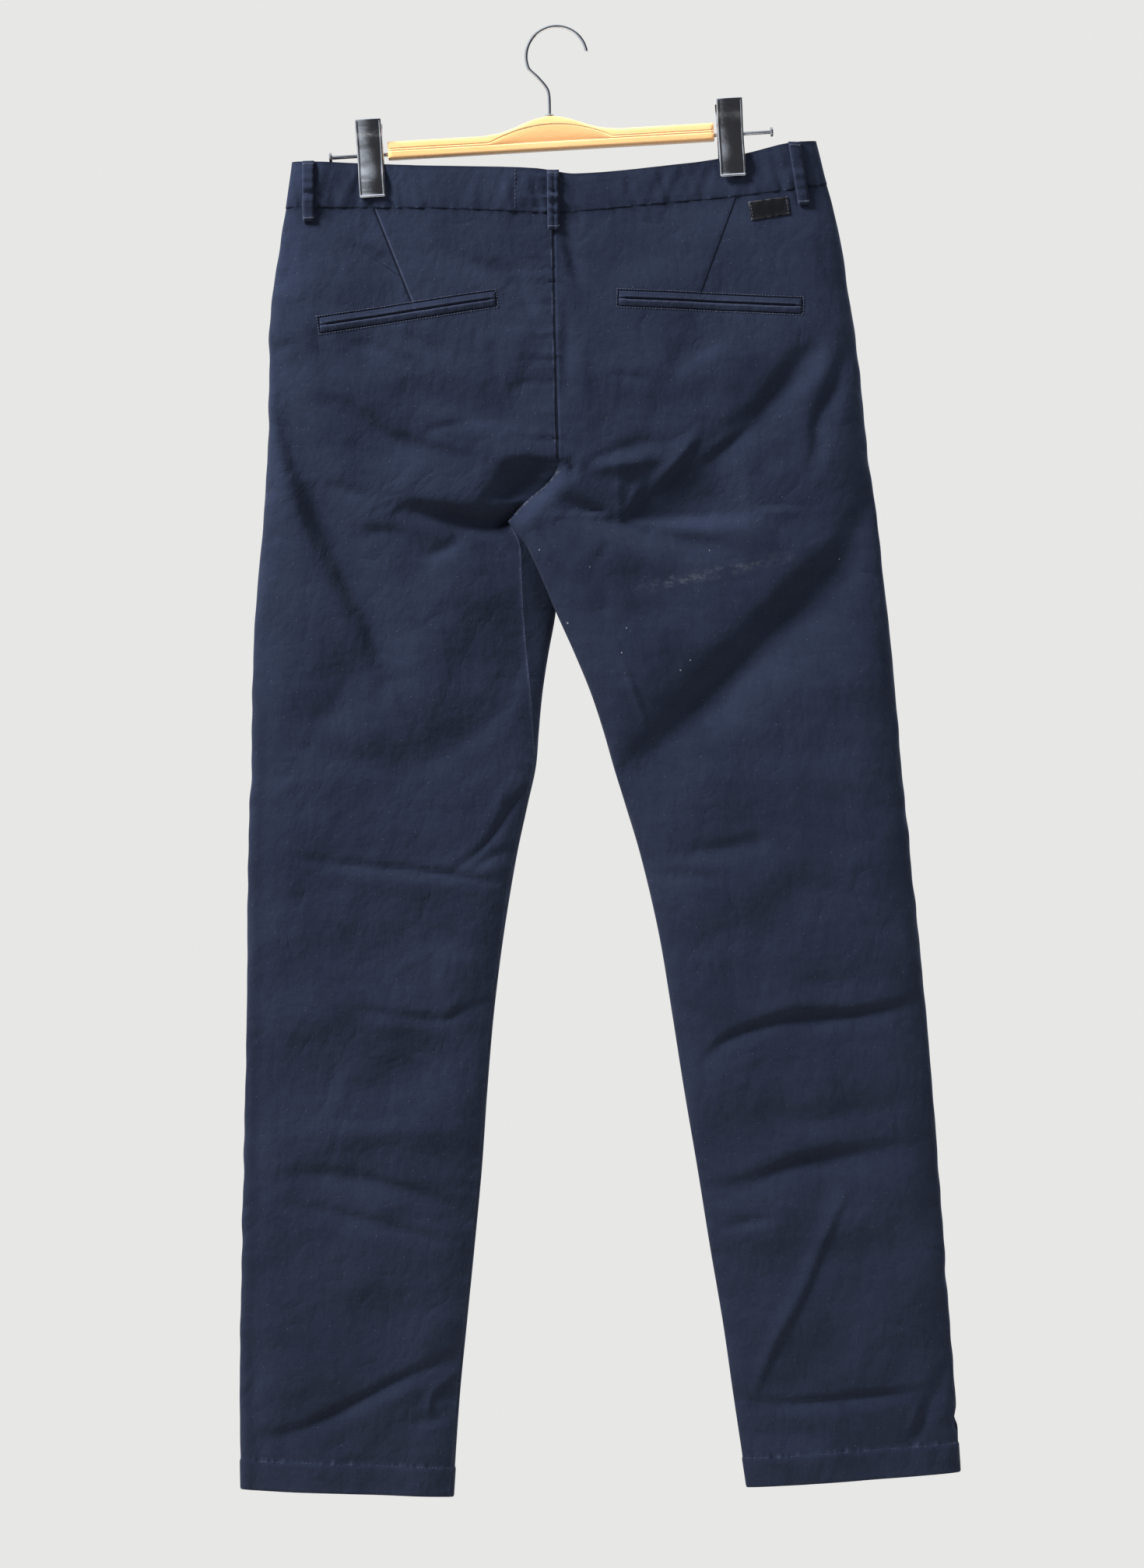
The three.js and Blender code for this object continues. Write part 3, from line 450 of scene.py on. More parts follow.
def main_relief(face, x, z):
    """Folds and low waviness of one face of the garment."""
    strength = settings().fold_strength
    flat_x, flat_z = np.ravel(x), np.ravel(z)
    lift = np.zeros_like(flat_x)
    for fold in (BACK_FOLDS if face == BACK else FRONT_FOLDS):
        lift += fold.lift(flat_x, flat_z)
    lift += 0.9 * waves(flat_x, flat_z, 21 + face, 120) + 0.32 * waves(flat_x, flat_z, 31 + face, 46)
    return (strength * lift).reshape(np.shape(x))


def seam_relief(half, face, x, z):
    """Steps and puckers along the seams, darts, pockets and hem."""
    strength = settings().pucker_strength
    outward = OUTWARD[half]
    seed = 40 + 3 * COLUMN[half] + face
    below = read(WAIST_SEAM, x) - z
    lift = 0.35 * wobble(x, seed, 15) * np.exp(-np.abs(below) / 15)
    side = np.maximum(outward * (outer_x(half, z) - x), 0)
    lift = lift + 0.4 * wobble(z, seed + 1, 19) * np.exp(-side / 9)
    fold = np.maximum(outward * (x - inner_x(half, face, z)), 0)
    pucker = 0.5 * sharpened(wobble(z, seed + 5, 14)) * np.exp(-fold / 8)
    lift = lift + pucker * round_in(fold, 7) * leg_share(z)
    above_hem = z - read(HEM_EDGE[half], x)
    lift += 0.28 * wobble(x + 0.7 * above_hem, seed + 2, 13) * np.exp(-(((above_hem - 14) / 13) ** 2))
    lift -= 0.35 * np.exp(-(((above_hem - HEM_HEIGHT + 1) / 1.6) ** 2))
    seat = z > CROTCH_Z + 20
    if face == BACK:
        off = np.abs(x - seat_x(z))
        pucker = 0.85 * sharpened(wobble(z + 0.4 * x, 77, 9)) * np.exp(-off / 8)
        if half == "left":
            edge = 0.55 * (1 - smooth((off - 6.2) / 1.8)) - 0.7 * (1 - smooth(off / 1.1))
        else:
            edge = -0.75 * (1 - smooth(off / 1.8))
        lift += np.where(seat, pucker + edge, 0)
        lift += dart_relief(half, x, z) + pocket_relief(half, x, z)
        if half == "left":
            gap = np.abs(x - inseam_x(z))
            ridge = 0.5 * np.exp(-((gap / 3.2) ** 2)) + 0.3 * wobble(z, 79, 12) * np.exp(-gap / 7)
            lift += np.where(z < CROTCH_Z, ridge, 0)
    else:
        off = np.abs(x - FRONT_SEAM_X)
        lift += np.where(seat, 0.3 * wobble(z, 81, 12) * np.exp(-off / 10), 0)
    return strength * lift


def dart_relief(half, x, z):
    """A dart: a narrow groove with the folded cloth lying towards the middle."""
    (ax, az), (bx, bz) = DARTS[half]
    gap, along, side = nearest(np.array([(ax, az), (bx, bz)], float), np.ravel(x), np.ravel(z))
    gap, along, side = (v.reshape(np.shape(x)) for v in (gap, along, side))
    inner = side * (1 if half == "left" else -1)
    step = np.where(inner > 0, 0.55 * np.exp(-gap / 7), 0)
    fade = 1 - smooth((along - 0.97) / 0.03)
    return (step - 0.75 * np.exp(-((gap / 1.3) ** 2))) * (0.35 + 0.65 * fade)


def pocket_relief(half, x, z):
    """Thickness of a pocket behind its welts, and the pull of its ends."""
    line = np.array(POCKETS[half], float)
    gap, along, side = nearest(line, np.ravel(x), np.ravel(z))
    gap, along, side = (v.reshape(np.shape(x)) for v in (gap, along, side))
    hump = 0.7 * np.exp(-((gap / 17) ** 4))
    ends = np.exp(-((along / 0.04) ** 2)) + np.exp(-(((1 - along) / 0.04) ** 2))
    inside = smooth(along / 0.06) * smooth((1 - along) / 0.06)
    pulls = 0.22 * wobble(x, 61, 11) * np.exp(-(((gap - 15) / 7) ** 2)) * inside
    return hump + pulls - 0.3 * ends * np.exp(-((gap / 12) ** 2))


def cloth_y(half, face, x, z, inset=0.0):
    """Depth of the cloth's face at x, z. Inset moves it towards the hollow."""
    share = leg_share(z)
    outward = OUTWARD[half]
    low = smooth((CROTCH_Z - z) / 200)
    reach = mix(INNER_REACH_CROTCH, INNER_REACH_LEG, low)
    from_outer = outward * (outer_x(half, z) - x) - inset
    from_inner = outward * (x - inner_x(half, face, z))
    inner = from_inner - inset * share + (1 - share) * reach
    thick = read(DEPTHS, z) - pinch_at(x, z) - inset
    near = 1 - smooth(from_inner / WINDOW[half])
    lean = -outward * read(LEAN, np.minimum(z, CROTCH_Z)) * share * near
    rounding = round_in(from_outer, OUTER_REACH) * round_in(inner, reach)
    lift = main_relief(face, x, z) * round_in(from_outer, 40) * round_in(inner, 40)
    lift = lift + seam_relief(half, face, x, z) * round_in(from_outer, 6)
    return lean + face * SEWN_GAP / 2 + face * (thick * rounding + lift)


def face_y(half, face, x, z, inset=0.0):
    """The panel that lies behind is drawn to its neighbour's edge, above the crotch."""
    x, z = np.broadcast_arrays(np.asarray(x, float), np.asarray(z, float))
    y = cloth_y(half, face, x, z, inset)
    if (half == "left") != (face == BACK):
        return y
    seam = seat_x(z) if face == BACK else np.full_like(z, FRONT_SEAM_X)
    other = "right" if half == "left" else "left"
    edge = cloth_y(other, face, seam, z, inset)
    pull = (1 - smooth(np.abs(x - seam) / 45)) * smooth((z - CROTCH_Z) / 26)
    return np.where(z < CROTCH_Z, y, mix(y, edge, pull))


def level_z(half, level, share, up, x):
    """Height of a level at x: curved like the waist at the top and like the hem at the foot."""
    hem = read(HEM_EDGE[half], x)
    at_top = 1 - smooth(share / 0.2)
    at_foot = smooth((share - 0.75) / 0.25)
    bent = mix(read(WAIST_SEAM, x), hem + HEM_HEIGHT, share)
    z = mix(level, bent, np.maximum(at_top, at_foot))
    return np.where(up >= 0, hem + up, z)


def make_levels(seat_rows, leg_rows):
    """Rows from the waist seam to the hem: height, share of the way down, height above the hem."""
    seat = np.linspace(WAIST_Z, CROTCH_Z, seat_rows, endpoint=False)
    leg = np.linspace(CROTCH_Z, HEM_STITCH_Z, leg_rows + 1)
    level = np.concatenate([seat, leg])
    share = (level - WAIST_Z) / (HEM_STITCH_Z - WAIST_Z)
    ups = np.array([23.8, 22.4, 20, 17, 14, 11, 8, 5.5, 3, 1.2, 0.3, 0])
    rows = [np.concatenate([level, np.full(len(ups), HEM_STITCH_Z)]),
            np.concatenate([share, np.ones(len(ups))]),
            np.concatenate([np.full(len(level), -1.0), ups])]
    return [row[:, None] for row in rows]


def hem_out(up):
    """How far the doubled hem stands out, rolled in at its lower edge."""
    proud = HEM_PROUD * smooth((HEM_HEIGHT - up) / 2.2) - 0.5 * (1 - smooth(up / 1.2))
    return np.where(up >= 0, proud, 0.0)


def spread(t):
    """Spacing across a panel: close together at its edges."""
    return 0.75 * (1 - np.cos(np.pi * t)) / 2 + 0.25 * t


def panel_frame(half, levels):
    """Heights of each row at the side and inner edges."""
    level, share, up = levels
    side_z = level_z(half, level, share, up, OUTWARD[half] * 235.0)
    inner_z = level_z(half, level, share, up, -60.0 if half == "left" else 100.0)
    return side_z, inner_z


def back_panel(half, columns, levels, inset):
    """Points of a back panel, one array of rows and columns."""
    outward = OUTWARD[half]
    level, share, up = levels
    side_z, inner_z = panel_frame(half, levels)
    inset = inset - hem_out(up)
    side = outer_x(half, side_z) - outward * inset
    t = spread(np.linspace(0, 1, columns + 1)[None, :])
    seam = seat_x(inner_z) + outward * SEWN_GAP / 2
    leg_edge = inseam_x(inner_z) - SEWN_GAP / 2 if half == "left" else inner_x("right", BACK, inner_z) + inset
    edge = np.where(inner_z > CROTCH_Z, seam, leg_edge)
    x = mix(side, edge, t)
    z = level_z(half, level, share, up, x)
    return np.stack([x, face_y(half, BACK, x, z, inset), z], axis=-1)


def fork_x(half, z):
    """Where the front panel's main part meets its fork."""
    if half == "left":
        leg = inner_x("left", FRONT, z) - FOLD_BACK
    else:
        leg = inner_x("right", FRONT, z) + mix(RIGHT_FORK, FOLD_BACK, smooth((CROTCH_Z - z) / FORK_HEIGHT))
    return np.where(z > CROTCH_Z, FRONT_SEAM_X + OUTWARD[half] * SEWN_GAP / 2, leg)


FORK_FRONT = {"left": 5, "right": 14}
FORK_BACK = {"left": 16, "right": 0}


def front_panel(half, columns, levels, inset):
    """Points of a front panel with its fork, which wraps the left leg's inner fold."""
    outward = OUTWARD[half]
    level, share, up = levels
    side_z, inner_z = panel_frame(half, levels)
    inset = inset - hem_out(up)
    fold = inner_x(half, FRONT, inner_z) + outward * inset
    fork = fork_x(half, inner_z)
    side = outer_x(half, side_z) - outward * inset
    main = mix(side, fork, spread(np.linspace(0, 1, columns + 1)[None, :]))
    on_front, on_back = FORK_FRONT[half], FORK_BACK[half]
    t = np.arange(1, on_front + 1)[None, :] / on_front
    turn = mix(fork, fold, np.sin(np.pi / 2 * t))
    x = np.concatenate([main, turn], axis=1)
    z = level_z(half, level, share, up, x)
    points = np.stack([x, face_y(half, FRONT, x, z, inset), z], axis=-1)
    if on_back:
        t = 1 - np.cos(np.pi / 2 * np.arange(1, on_back + 1)[None, :] / on_back)
        x = mix(fold, inseam_x(inner_z) + SEWN_GAP / 2, t)
        z = level_z(half, level, share, up, x)
        behind = np.stack([x, face_y(half, BACK, x, z, inset), z], axis=-1)
        points = np.concatenate([points, behind], axis=1)
    return points


def band_relief(half, face, x, up):
    """Puckers of the waistband, strongest at its seam, and its edges sewn down."""
    seed = 90 + COLUMN[half] + 5 * face
    lift = 0.75 * sharpened(wobble(x + 9 * up, seed, 15)) * (1 - 0.75 * up)
    lift += 0.5 * sharpened(wobble(x - 12 * up, seed + 1, 21)) * (0.2 + 0.8 * np.sin(np.pi * up))
    lift += 0.45 * wobble(x + 14 * up, seed + 3, 43)
    edges = np.exp(-(((up - 0.07) / 0.03) ** 2)) + np.exp(-(((up - 0.93) / 0.03) ** 2))
    crown = 0.5 * (1 - (2 * up - 1) ** 6) - 0.3 * edges
    return settings().pucker_strength * lift + crown


def band_surface(half, face, x, up, inset=0.0):
    """A point of the waistband's face, up from 0 at its seam to 1 at its top edge."""
    outward = OUTWARD[half]
    low = read(WAIST_SEAM, x) - 0.5
    z = mix(low, read(BAND_TOP, x), up)
    side = np.clip(outward * (outer_x(half, z) - x) + BAND_OUT - inset, 0, None)
    relief = band_relief(half, face, x, up) * round_in(side, 10)
    y = face_y(half, face, x, z, inset - BAND_OUT) + face * relief
    if half == "left" and face == FRONT:
        y = y + TAB_STEP * smooth((x + 34) / 28)
    return np.stack(np.broadcast_arrays(x, y, z), axis=-1)


def waistband(half, columns, rows, inset):
    """One half of the waistband, from the centre back round the side to the centre front."""
    outward = OUTWARD[half]
    up = np.linspace(0, 1, rows + 1)
    up = (0.5 - 0.5 * np.cos(np.pi * up))[:, None] * 0.4 + up[:, None] * 0.6
    side_z = mix(read(WAIST_SEAM, outward * 230.0), read(BAND_TOP, outward * 230.0), up)
    side = outer_x(half, side_z) + outward * (BAND_OUT - inset)
    faces = []
    for face in (BACK, FRONT):
        t = np.linspace(0, 1, columns + 1)[None, :]
        t = t[:, ::-1] if face == BACK else t[:, 1:]
        end = seat_x(-130.0) + outward * SEWN_GAP / 2
        if face == FRONT:
            end = FRONT_SEAM_X + (TAB_LENGTH if half == "left" else SEWN_GAP / 2)
        x = mix(side, end, 1 - np.cos(np.pi / 2 * t))
        points = band_surface(half, face, x, np.broadcast_to(up, x.shape), inset)
        if face == BACK:
            points[:, -1, 1] = 0
        faces.append(points)
    return np.concatenate(faces, axis=1)


def laid_strip(half, face, corners, rows, columns, rise, shift=None):
    """Outer and inner points of a strip laid on a panel. Rise gives both heights at u, v."""
    a, b, c, d = (np.array(p, float) for p in corners)
    v, u = np.meshgrid(np.linspace(0, 1, rows + 1), np.linspace(0, 1, columns + 1), indexing="ij")
    place = mix(mix(a, b, u[..., None]), mix(d, c, u[..., None]), v[..., None])
    x, z = place[..., 0], place[..., 1]
    if shift:
        z = z + shift(u, v)
    y = face_y(half, face, x, z)
    outer, inner = rise(u, v)
    return (np.stack([x, y + face * outer, z], axis=-1), np.stack([x, y + face * inner, z], axis=-1))


def rounded(t, edge):
    """Cross-section of a turned edge: 0 at both ends and 1 between."""
    return round_in(np.minimum(t, 1 - t), edge)


def closed_shell(outer, inner, cells=None):
    """Vertices and faces of a closed wall between two equal grids of points."""
    rows, columns = outer.shape[0] - 1, outer.shape[1] - 1
    across = columns + 1
    count = outer.shape[0] * across
    cells = np.ones((rows, columns), bool) if cells is None else cells
    i, j = np.nonzero(cells)
    a = i * across + j
    quads = np.stack([a, a + 1, a + across + 1, a + across], axis=1)
    edges = np.concatenate([quads[:, [k, (k + 1) % 4]] for k in range(4)])
    keys = edges[:, 0] * count + edges[:, 1]
    free = edges[~np.isin(keys, edges[:, 1] * count + edges[:, 0])]
    rim = np.stack([free[:, 0], free[:, 0] + count, free[:, 1] + count, free[:, 1]], axis=1)
    faces = np.concatenate([quads, quads[:, ::-1] + count, rim])
    points = np.concatenate([outer.reshape(-1, 3), inner.reshape(-1, 3)])
    used = np.unique(faces)
    place = np.full(2 * count, -1)
    place[used] = np.arange(len(used))
    faces, points = place[faces], points[used]
    p = points[faces]
    volume = np.einsum("ij,ij->i", p[:, 0], np.cross(p[:, 1], p[:, 2]) + np.cross(p[:, 2], p[:, 3])).sum()
    return points, (faces if volume > 0 else faces[:, ::-1]), used


def link(name, mesh):
    piece = bpy.data.objects.new(name, mesh)
    bpy.context.scene.collection.objects.link(piece)
    return piece


def finish_piece(piece, material, slot, *nodes):
    """Gives a piece its material and body, and hides the nodes that it stands for."""
    piece.data.materials.clear()
    piece.data.materials.append(material)
    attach(piece, "root")
    if nodes:
        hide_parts(*nodes)
    return piece


def mesh_piece(name, points, faces, sharp=55):
    """A smooth mesh from points in millimetres."""
    mesh = bpy.data.meshes.new(name)
    mesh.from_pydata((np.asarray(points, float) * MM).tolist(), [], [list(map(int, f)) for f in faces])
    mesh.shade_smooth()
    mesh.set_sharp_from_angle(angle=math.radians(sharp))
    return link(name, mesh)


def cloth_uv(grid):
    """Distance across and along the cloth in metres, from the middle of each row."""
    step = np.linalg.norm(np.diff(grid, axis=1), axis=2)
    across = np.concatenate([np.zeros((len(grid), 1)), np.cumsum(step, axis=1)], axis=1)
    across = across - across[:, [grid.shape[1] // 2]]
    return np.stack([across, grid[..., 2]], axis=-1).reshape(-1, 2) * MM


def cloth_piece(name, outer, inner, wear_and_painted_light, cells=None):
    """A closed shell of cloth with its UV map and an attribute for rubbing and painted light: rubbed places
    and painted highlights above 0, painted shade below.
    """
    points, faces, used = closed_shell(outer, inner, cells)
    piece = mesh_piece(name, points, faces)
    mesh = piece.data
    flat = cloth_uv(outer)
    uv = np.concatenate([flat, flat])[used]
    layer = mesh.uv_layers.new(name="cloth")
    corner = np.empty(len(mesh.loops), np.int32)
    mesh.loops.foreach_get("vertex_index", corner)
    layer.data.foreach_set("uv", uv[corner].ravel())
    attribute = mesh.attributes.new("wear_and_painted_light", "FLOAT", "POINT")
    wear_and_painted_light = np.ravel(wear_and_painted_light)
    attribute.data.foreach_set("value", np.concatenate([wear_and_painted_light, wear_and_painted_light])[used].astype(np.float32))
    return piece


class Number:
    """A value socket that takes part in arithmetic, with one Math node for each step."""

    def __init__(self, shader, socket):
        self.shader, self.socket = shader, socket

    def __add__(self, other):
        return self.shader.math("ADD", self, other)

    __radd__ = __add__

    def __sub__(self, other):
        return self.shader.math("SUBTRACT", self, other)

    def __rsub__(self, other):
        return self.shader.math("SUBTRACT", other, self)

    def __mul__(self, other):
        return self.shader.math("MULTIPLY", self, other)

    __rmul__ = __mul__

    def __truediv__(self, other):
        return self.shader.math("DIVIDE", self, other)

    def __rtruediv__(self, other):
        return self.shader.math("DIVIDE", other, self)

    def __pow__(self, other):
        return self.shader.math("POWER", self, other)

    def __rpow__(self, other):
        return self.shader.math("POWER", other, self)

    def __neg__(self):
        return self * -1.0


class Shader:
    """Builds the nodes of a material, or of the world."""

    def __init__(self, owner):
        self.owner = bpy.data.materials.new(owner) if isinstance(owner, str) else owner
        self.owner.use_nodes = True
        self.tree = self.owner.node_tree
        self.tree.nodes.clear()

    def add(self, kind, settings=None, **inputs):
        """A node of a type, its settings first, then the values or links of its sockets."""
        node = self.tree.nodes.new(kind)
        for key, value in (settings or {}).items():
            setattr(node, key, value)
        for key, value in inputs.items():
            self.feed(node.inputs[key.replace("_", " ")], value)
        return node

    def feed(self, socket, value):
        if isinstance(value, Number):
            value = value.socket
        if isinstance(value, bpy.types.NodeSocket):
            self.tree.links.new(value, socket)
        else:
            socket.default_value = value

    def math(self, operation, *values, clamp=False):
        node = self.add("ShaderNodeMath", {"operation": operation, "use_clamp": clamp})
        for socket, value in zip(node.inputs, values):
            self.feed(socket, value)
        return Number(self, node.outputs[0])

    def clamp(self, value):
        return self.math("ADD", value, 0.0, clamp=True)

    def step(self, value, low, high):
        """Soft step of a value from 0 at low to 1 at high."""
        node = self.add("ShaderNodeMapRange", {"interpolation_type": "SMOOTHSTEP"}, Value=value,
                        From_Min=low, From_Max=high, To_Min=0.0, To_Max=1.0)
        return Number(self, node.outputs["Result"])

    def mix(self, low, high, share):
        node = self.add("ShaderNodeMix", {"data_type": "RGBA"})
        self.feed(node.inputs[0], share)
        self.feed(node.inputs[6], low)
        self.feed(node.inputs[7], high)
        return node.outputs[2]

    def stretched(self, vector, scale, turn=(0, 0, 0)):
        return self.add("ShaderNodeMapping", None, Vector=vector, Scale=scale, Rotation=turn).outputs[0]

    def noise(self, vector, scale, detail=3.0, roughness=0.55, distortion=0.0):
        node = self.add("ShaderNodeTexNoise", None, Vector=vector, Scale=scale, Detail=detail,
                        Roughness=roughness, Distortion=distortion)
        return Number(self, node.outputs["Fac"])

    def place(self):
        return self.add("ShaderNodeTexCoord").outputs["Object"]

    def cloth_uv(self):
        return self.add("ShaderNodeUVMap", {"uv_map": "cloth"}).outputs[0]

    def parts(self, vector):
        node = self.add("ShaderNodeSeparateXYZ", None, Vector=vector)
        return [Number(self, socket) for socket in node.outputs]

    def attribute(self, name):
        node = self.add("ShaderNodeAttribute", {"attribute_name": name})
        return Number(self, node.outputs["Fac"])

    def bump(self, height, strength=1.0):
        """Normal from a height in metres."""
        return self.add("ShaderNodeBump", None, Height=height, Distance=1.0, Strength=strength).outputs[0]

    def surface(self, **inputs):
        node = self.add("ShaderNodeBsdfPrincipled", None, **inputs)
        self.tree.links.new(node.outputs[0], self.add("ShaderNodeOutputMaterial").inputs[0])
        return self.owner


def colour(value):
    return (*value[:3], 1.0)


TWILL_PITCH = 0.0009
# Rubbed places of the right thigh and its flecks of lint: x, z in millimetres
SCUFF_LINE = [((66, -455, 0.25), (92, -449, 0.6)), ((92, -449, 0.6), (130, -441, 0.4)),
              ((130, -441, 0.4), (188, -429, 0.22))]
FRAYED = [(1.5, -358.5), (-7, -368), (-23.3, -382), (-38.2, -398)]
LINT = [(9, -482, 0.9), (100, -520, 0.75), (108, -512, 0.75), (56.5, -486, 0.6), (-13.7, -423, 0.6),
        (228.5, -430, 0.6), (52.6, -506, 0.7), (123.5, -423, 0.5), (27, -437, 0.5)]


def segment_gap(s, x, z, start, end):
    """Distance from the shading point to a line on the cloth in metres, and the place along it."""
    (ax, az), (bx, bz) = ((p[0] * MM, p[1] * MM) for p in (start, end))
    dx, dz = bx - ax, bz - az
    px, pz = x - ax, z - az
    t = s.clamp((px * dx + pz * dz) / (dx * dx + dz * dz))
    return ((px - t * dx) ** 2 + (pz - t * dz) ** 2) ** 0.5, t


def frame_gap(s, x, z, start, end, reach, margin):
    """Distance from the shading point to the outline of a long box about a line, in metres."""
    (ax, az), (bx, bz) = ((p[0] * MM, p[1] * MM) for p in (start, end))
    length = math.hypot(bx - ax, bz - az)
    ux, uz = (bx - ax) / length, (bz - az) / length
    px, pz = x - (ax + bx) / 2, z - (az + bz) / 2
    along = s.math("ABSOLUTE", px * ux + pz * uz) - (length / 2 + margin * MM)
    across = s.math("ABSOLUTE", pz * ux - px * uz) - reach * MM
    return s.math("ABSOLUTE", s.math("MAXIMUM", along, across))


def rubbed(s, place):
    """Pale rubbed line and flecks of lint on the back of the right thigh."""
    x, y, z = s.parts(place)
    patchy = s.step(s.noise(s.stretched(place, (1, 1, 2)), 130, 3, 0.6), 0.4, 0.72)
    grain = 0.3 + s.step(s.noise(place, 700, 3, 0.8), 0.38, 0.68) * 0.7
    mask = 0.0
    for (ax, az, low), (bx, bz, high) in SCUFF_LINE:
        gap, t = segment_gap(s, x, z, (ax, az), (bx, bz))
        mask = mask + (1 - s.step(gap, 0.0, 0.0075)) * (low + (high - low) * t) * 0.36
    mask = mask * patchy * grain
    ragged = s.step(s.noise(place, 420, 3, 0.7), 0.44, 0.60)
    for start, end in zip(FRAYED[:-1], FRAYED[1:]):
        gap, _ = segment_gap(s, x, z, start, end)
        mask = s.math("MAXIMUM", mask, (1 - s.step(gap, 0.0004, 0.0026)) * ragged * 0.16)
    for px, pz, radius in LINT:
        gap = ((x - px * MM) ** 2 + (z - pz * MM) ** 2) ** 0.5
        mask = mask + (1 - s.step(gap, radius * MM * 0.5, radius * MM)) * 0.75
    return s.clamp(mask * s.step(-y, -0.002, 0.001))


def grooves_and_painted_shade(s, place, half):
    """Narrow grooves of a back panel: its dart, the seat seam and the frame of its pocket, as a mask for
    their bump and for the painted shade in them.
    """
    x, y, z = s.parts(place)
    dart, _ = segment_gap(s, x, z, *DARTS[half])
    groove = 1 - s.step(dart, 0.0002, 0.0011)
    frame_line = frame_gap(s, x, z, *POCKETS[half], WELT_SLIT / 2 + WELT_HEIGHT + 0.3, 0.3)
    groove = s.math("MAXIMUM", groove, (1 - s.step(frame_line, 0.0002, 0.0009)) * 0.9)
    if half == "left":
        seam = [(seat_x(h) - 0.7, h) for h in (-152.0, -294.0, -349.0)]
        for start, end in zip(seam[:-1], seam[1:]):
            gap, _ = segment_gap(s, x, z, start, end)
            groove = s.math("MAXIMUM", groove, 1 - s.step(gap, 0.0006, 0.0018))
        gap, t = segment_gap(s, x, z, (-168, -174), (-127, -202))
        groove = s.math("MAXIMUM", groove, (1 - s.step(gap, 0.0002, 0.0012)) * t * 0.5)
    return groove * s.step(-y, -0.002, 0.001)


def painted_edge_highlights(s, place):
    """Painted highlights on the raised edges of the left dart and the seat seam, beside their grooves."""
    x, y, z = s.parts(place)
    (ax, az), (bx, bz) = DARTS["left"]
    gap, _ = segment_gap(s, x, z, (ax + 1.5, az), (bx + 1.5, bz))
    lit = (1 - s.step(gap, 0.0003, 0.0010)) * 0.35
    gap, _ = segment_gap(s, x, z, (seat_x(-152) - 2.6, -152), (seat_x(-345) - 2.6, -345))
    broken = s.step(s.noise(place, 90, 2, 0.6), 0.4, 0.6)
    lit = s.math("MAXIMUM", lit, (1 - s.step(gap, 0.0003, 0.0011)) * broken * 0.5)
    return lit * s.step(-y, -0.002, 0.001)


def twill(name, half=None):
    """Washed navy twill: diagonal ribs, heathered dye, soft crinkles and rubbed edges, with painted
    highlights and painted shade along seams, edges and grooves.
    """
    look = settings()
    s = Shader(name)
    place, uv = s.place(), s.cloth_uv()
    u, v, _ = s.parts(uv)
    rib = s.math("SINE", (u + v) * (2 * math.pi / TWILL_PITCH))
    warp = s.noise(s.stretched(uv, (1400, 90, 1)), 1.0, 2, 0.5)
    weft = s.noise(s.stretched(uv, (70, 1200, 1)), 1.0, 2, 0.5)
    heather = s.noise(place, 900, 3, 0.7)
    cloudy = s.noise(place, 14, 5, 0.62, 0.2)
    streaks = s.noise(s.stretched(uv, (12, 70, 1)), 1.0, 3, 0.6)
    crinkle = s.noise(s.stretched(uv, (72, 50, 1)), 1.0, 5, 0.6, 0.15)
    wear_and_painted_light = s.attribute("wear_and_painted_light")
    light = 0.5 + cloudy - 0.5 + (heather - 0.5) * 0.6 + (warp - 0.5) * 0.3 + (streaks - 0.5) * 0.35
    light = s.clamp(light + (weft - 0.5) * 0.4 + rib * 0.05)
    cloth = s.mix(colour(look.cloth_dark), colour(look.cloth_light), light)
    # Rubbed places and painted highlights lighten the dye from the attribute's positive values; its negative
    # values paint shade with a near-black navy.
    worn_and_lit = s.clamp(wear_and_painted_light * (0.35 + s.step(heather, 0.42, 0.62) * 0.65))
    cloth = s.mix(cloth, colour(look.cloth_worn_and_lit), worn_and_lit)
    cloth = s.mix(cloth, (0.002, 0.003, 0.007, 1.0), s.clamp(-wear_and_painted_light))
    cell = s.add("ShaderNodeTexVoronoi", {"voronoi_dimensions": "2D"}, Vector=uv, Scale=42.0)
    speck = 1 - s.step(Number(s, cell.outputs["Distance"]), 0.008, 0.016)
    cloth = s.mix(cloth, (0.10, 0.11, 0.14, 1.0), speck * 0.7)
    facets = s.math("ABSOLUTE", s.noise(s.stretched(uv, (22, 17, 1)), 1.0, 3, 0.5, 0.3) - 0.5)
    height = rib * 0.000018 + (heather - 0.5) * 0.00006 + (crinkle - 0.5) * 0.0013 + facets * 0.0045
    # Painted shade: the grooves of the dart, seat seam and pocket frame darken the dye, and the bump presses
    # them in
    if half:
        groove = grooves_and_painted_shade(s, place, half)
        cloth = s.mix(cloth, (0.003, 0.004, 0.008, 1.0), groove * 0.85)
        height = height - groove * 0.0006
    # Painted highlights on the raised edges of the left dart and the seat seam
    if half == "left":
        cloth = s.mix(cloth, colour(look.cloth_worn_and_lit), painted_edge_highlights(s, place))
    if half == "right":
        cloth = s.mix(cloth, (0.26, 0.27, 0.30, 1.0), rubbed(s, place))
    return s.surface(Base_Color=cloth, Roughness=0.86 + (heather - 0.5) * 0.12, Normal=s.bump(height),
                     Specular_IOR_Level=0.2, Sheen_Weight=0.04, Sheen_Roughness=0.5)


def thread_finish():
    """Polyester thread, a shade lighter than the cloth."""
    s = Shader("Thread")
    place = s.place()
    shade = s.noise(place, 500, 2, 0.6)
    twist = s.noise(s.stretched(place, (3000, 3000, 3000)), 1.0, 1, 0.5)
    base = s.mix(colour(settings().thread), (0.06, 0.07, 0.115, 1.0), s.step(shade, 0.45, 0.75))
    return s.surface(Base_Color=base, Roughness=0.6 + (twist - 0.5) * 0.2,
                     Normal=s.bump((twist - 0.5) * 0.00005), Sheen_Weight=0.2)


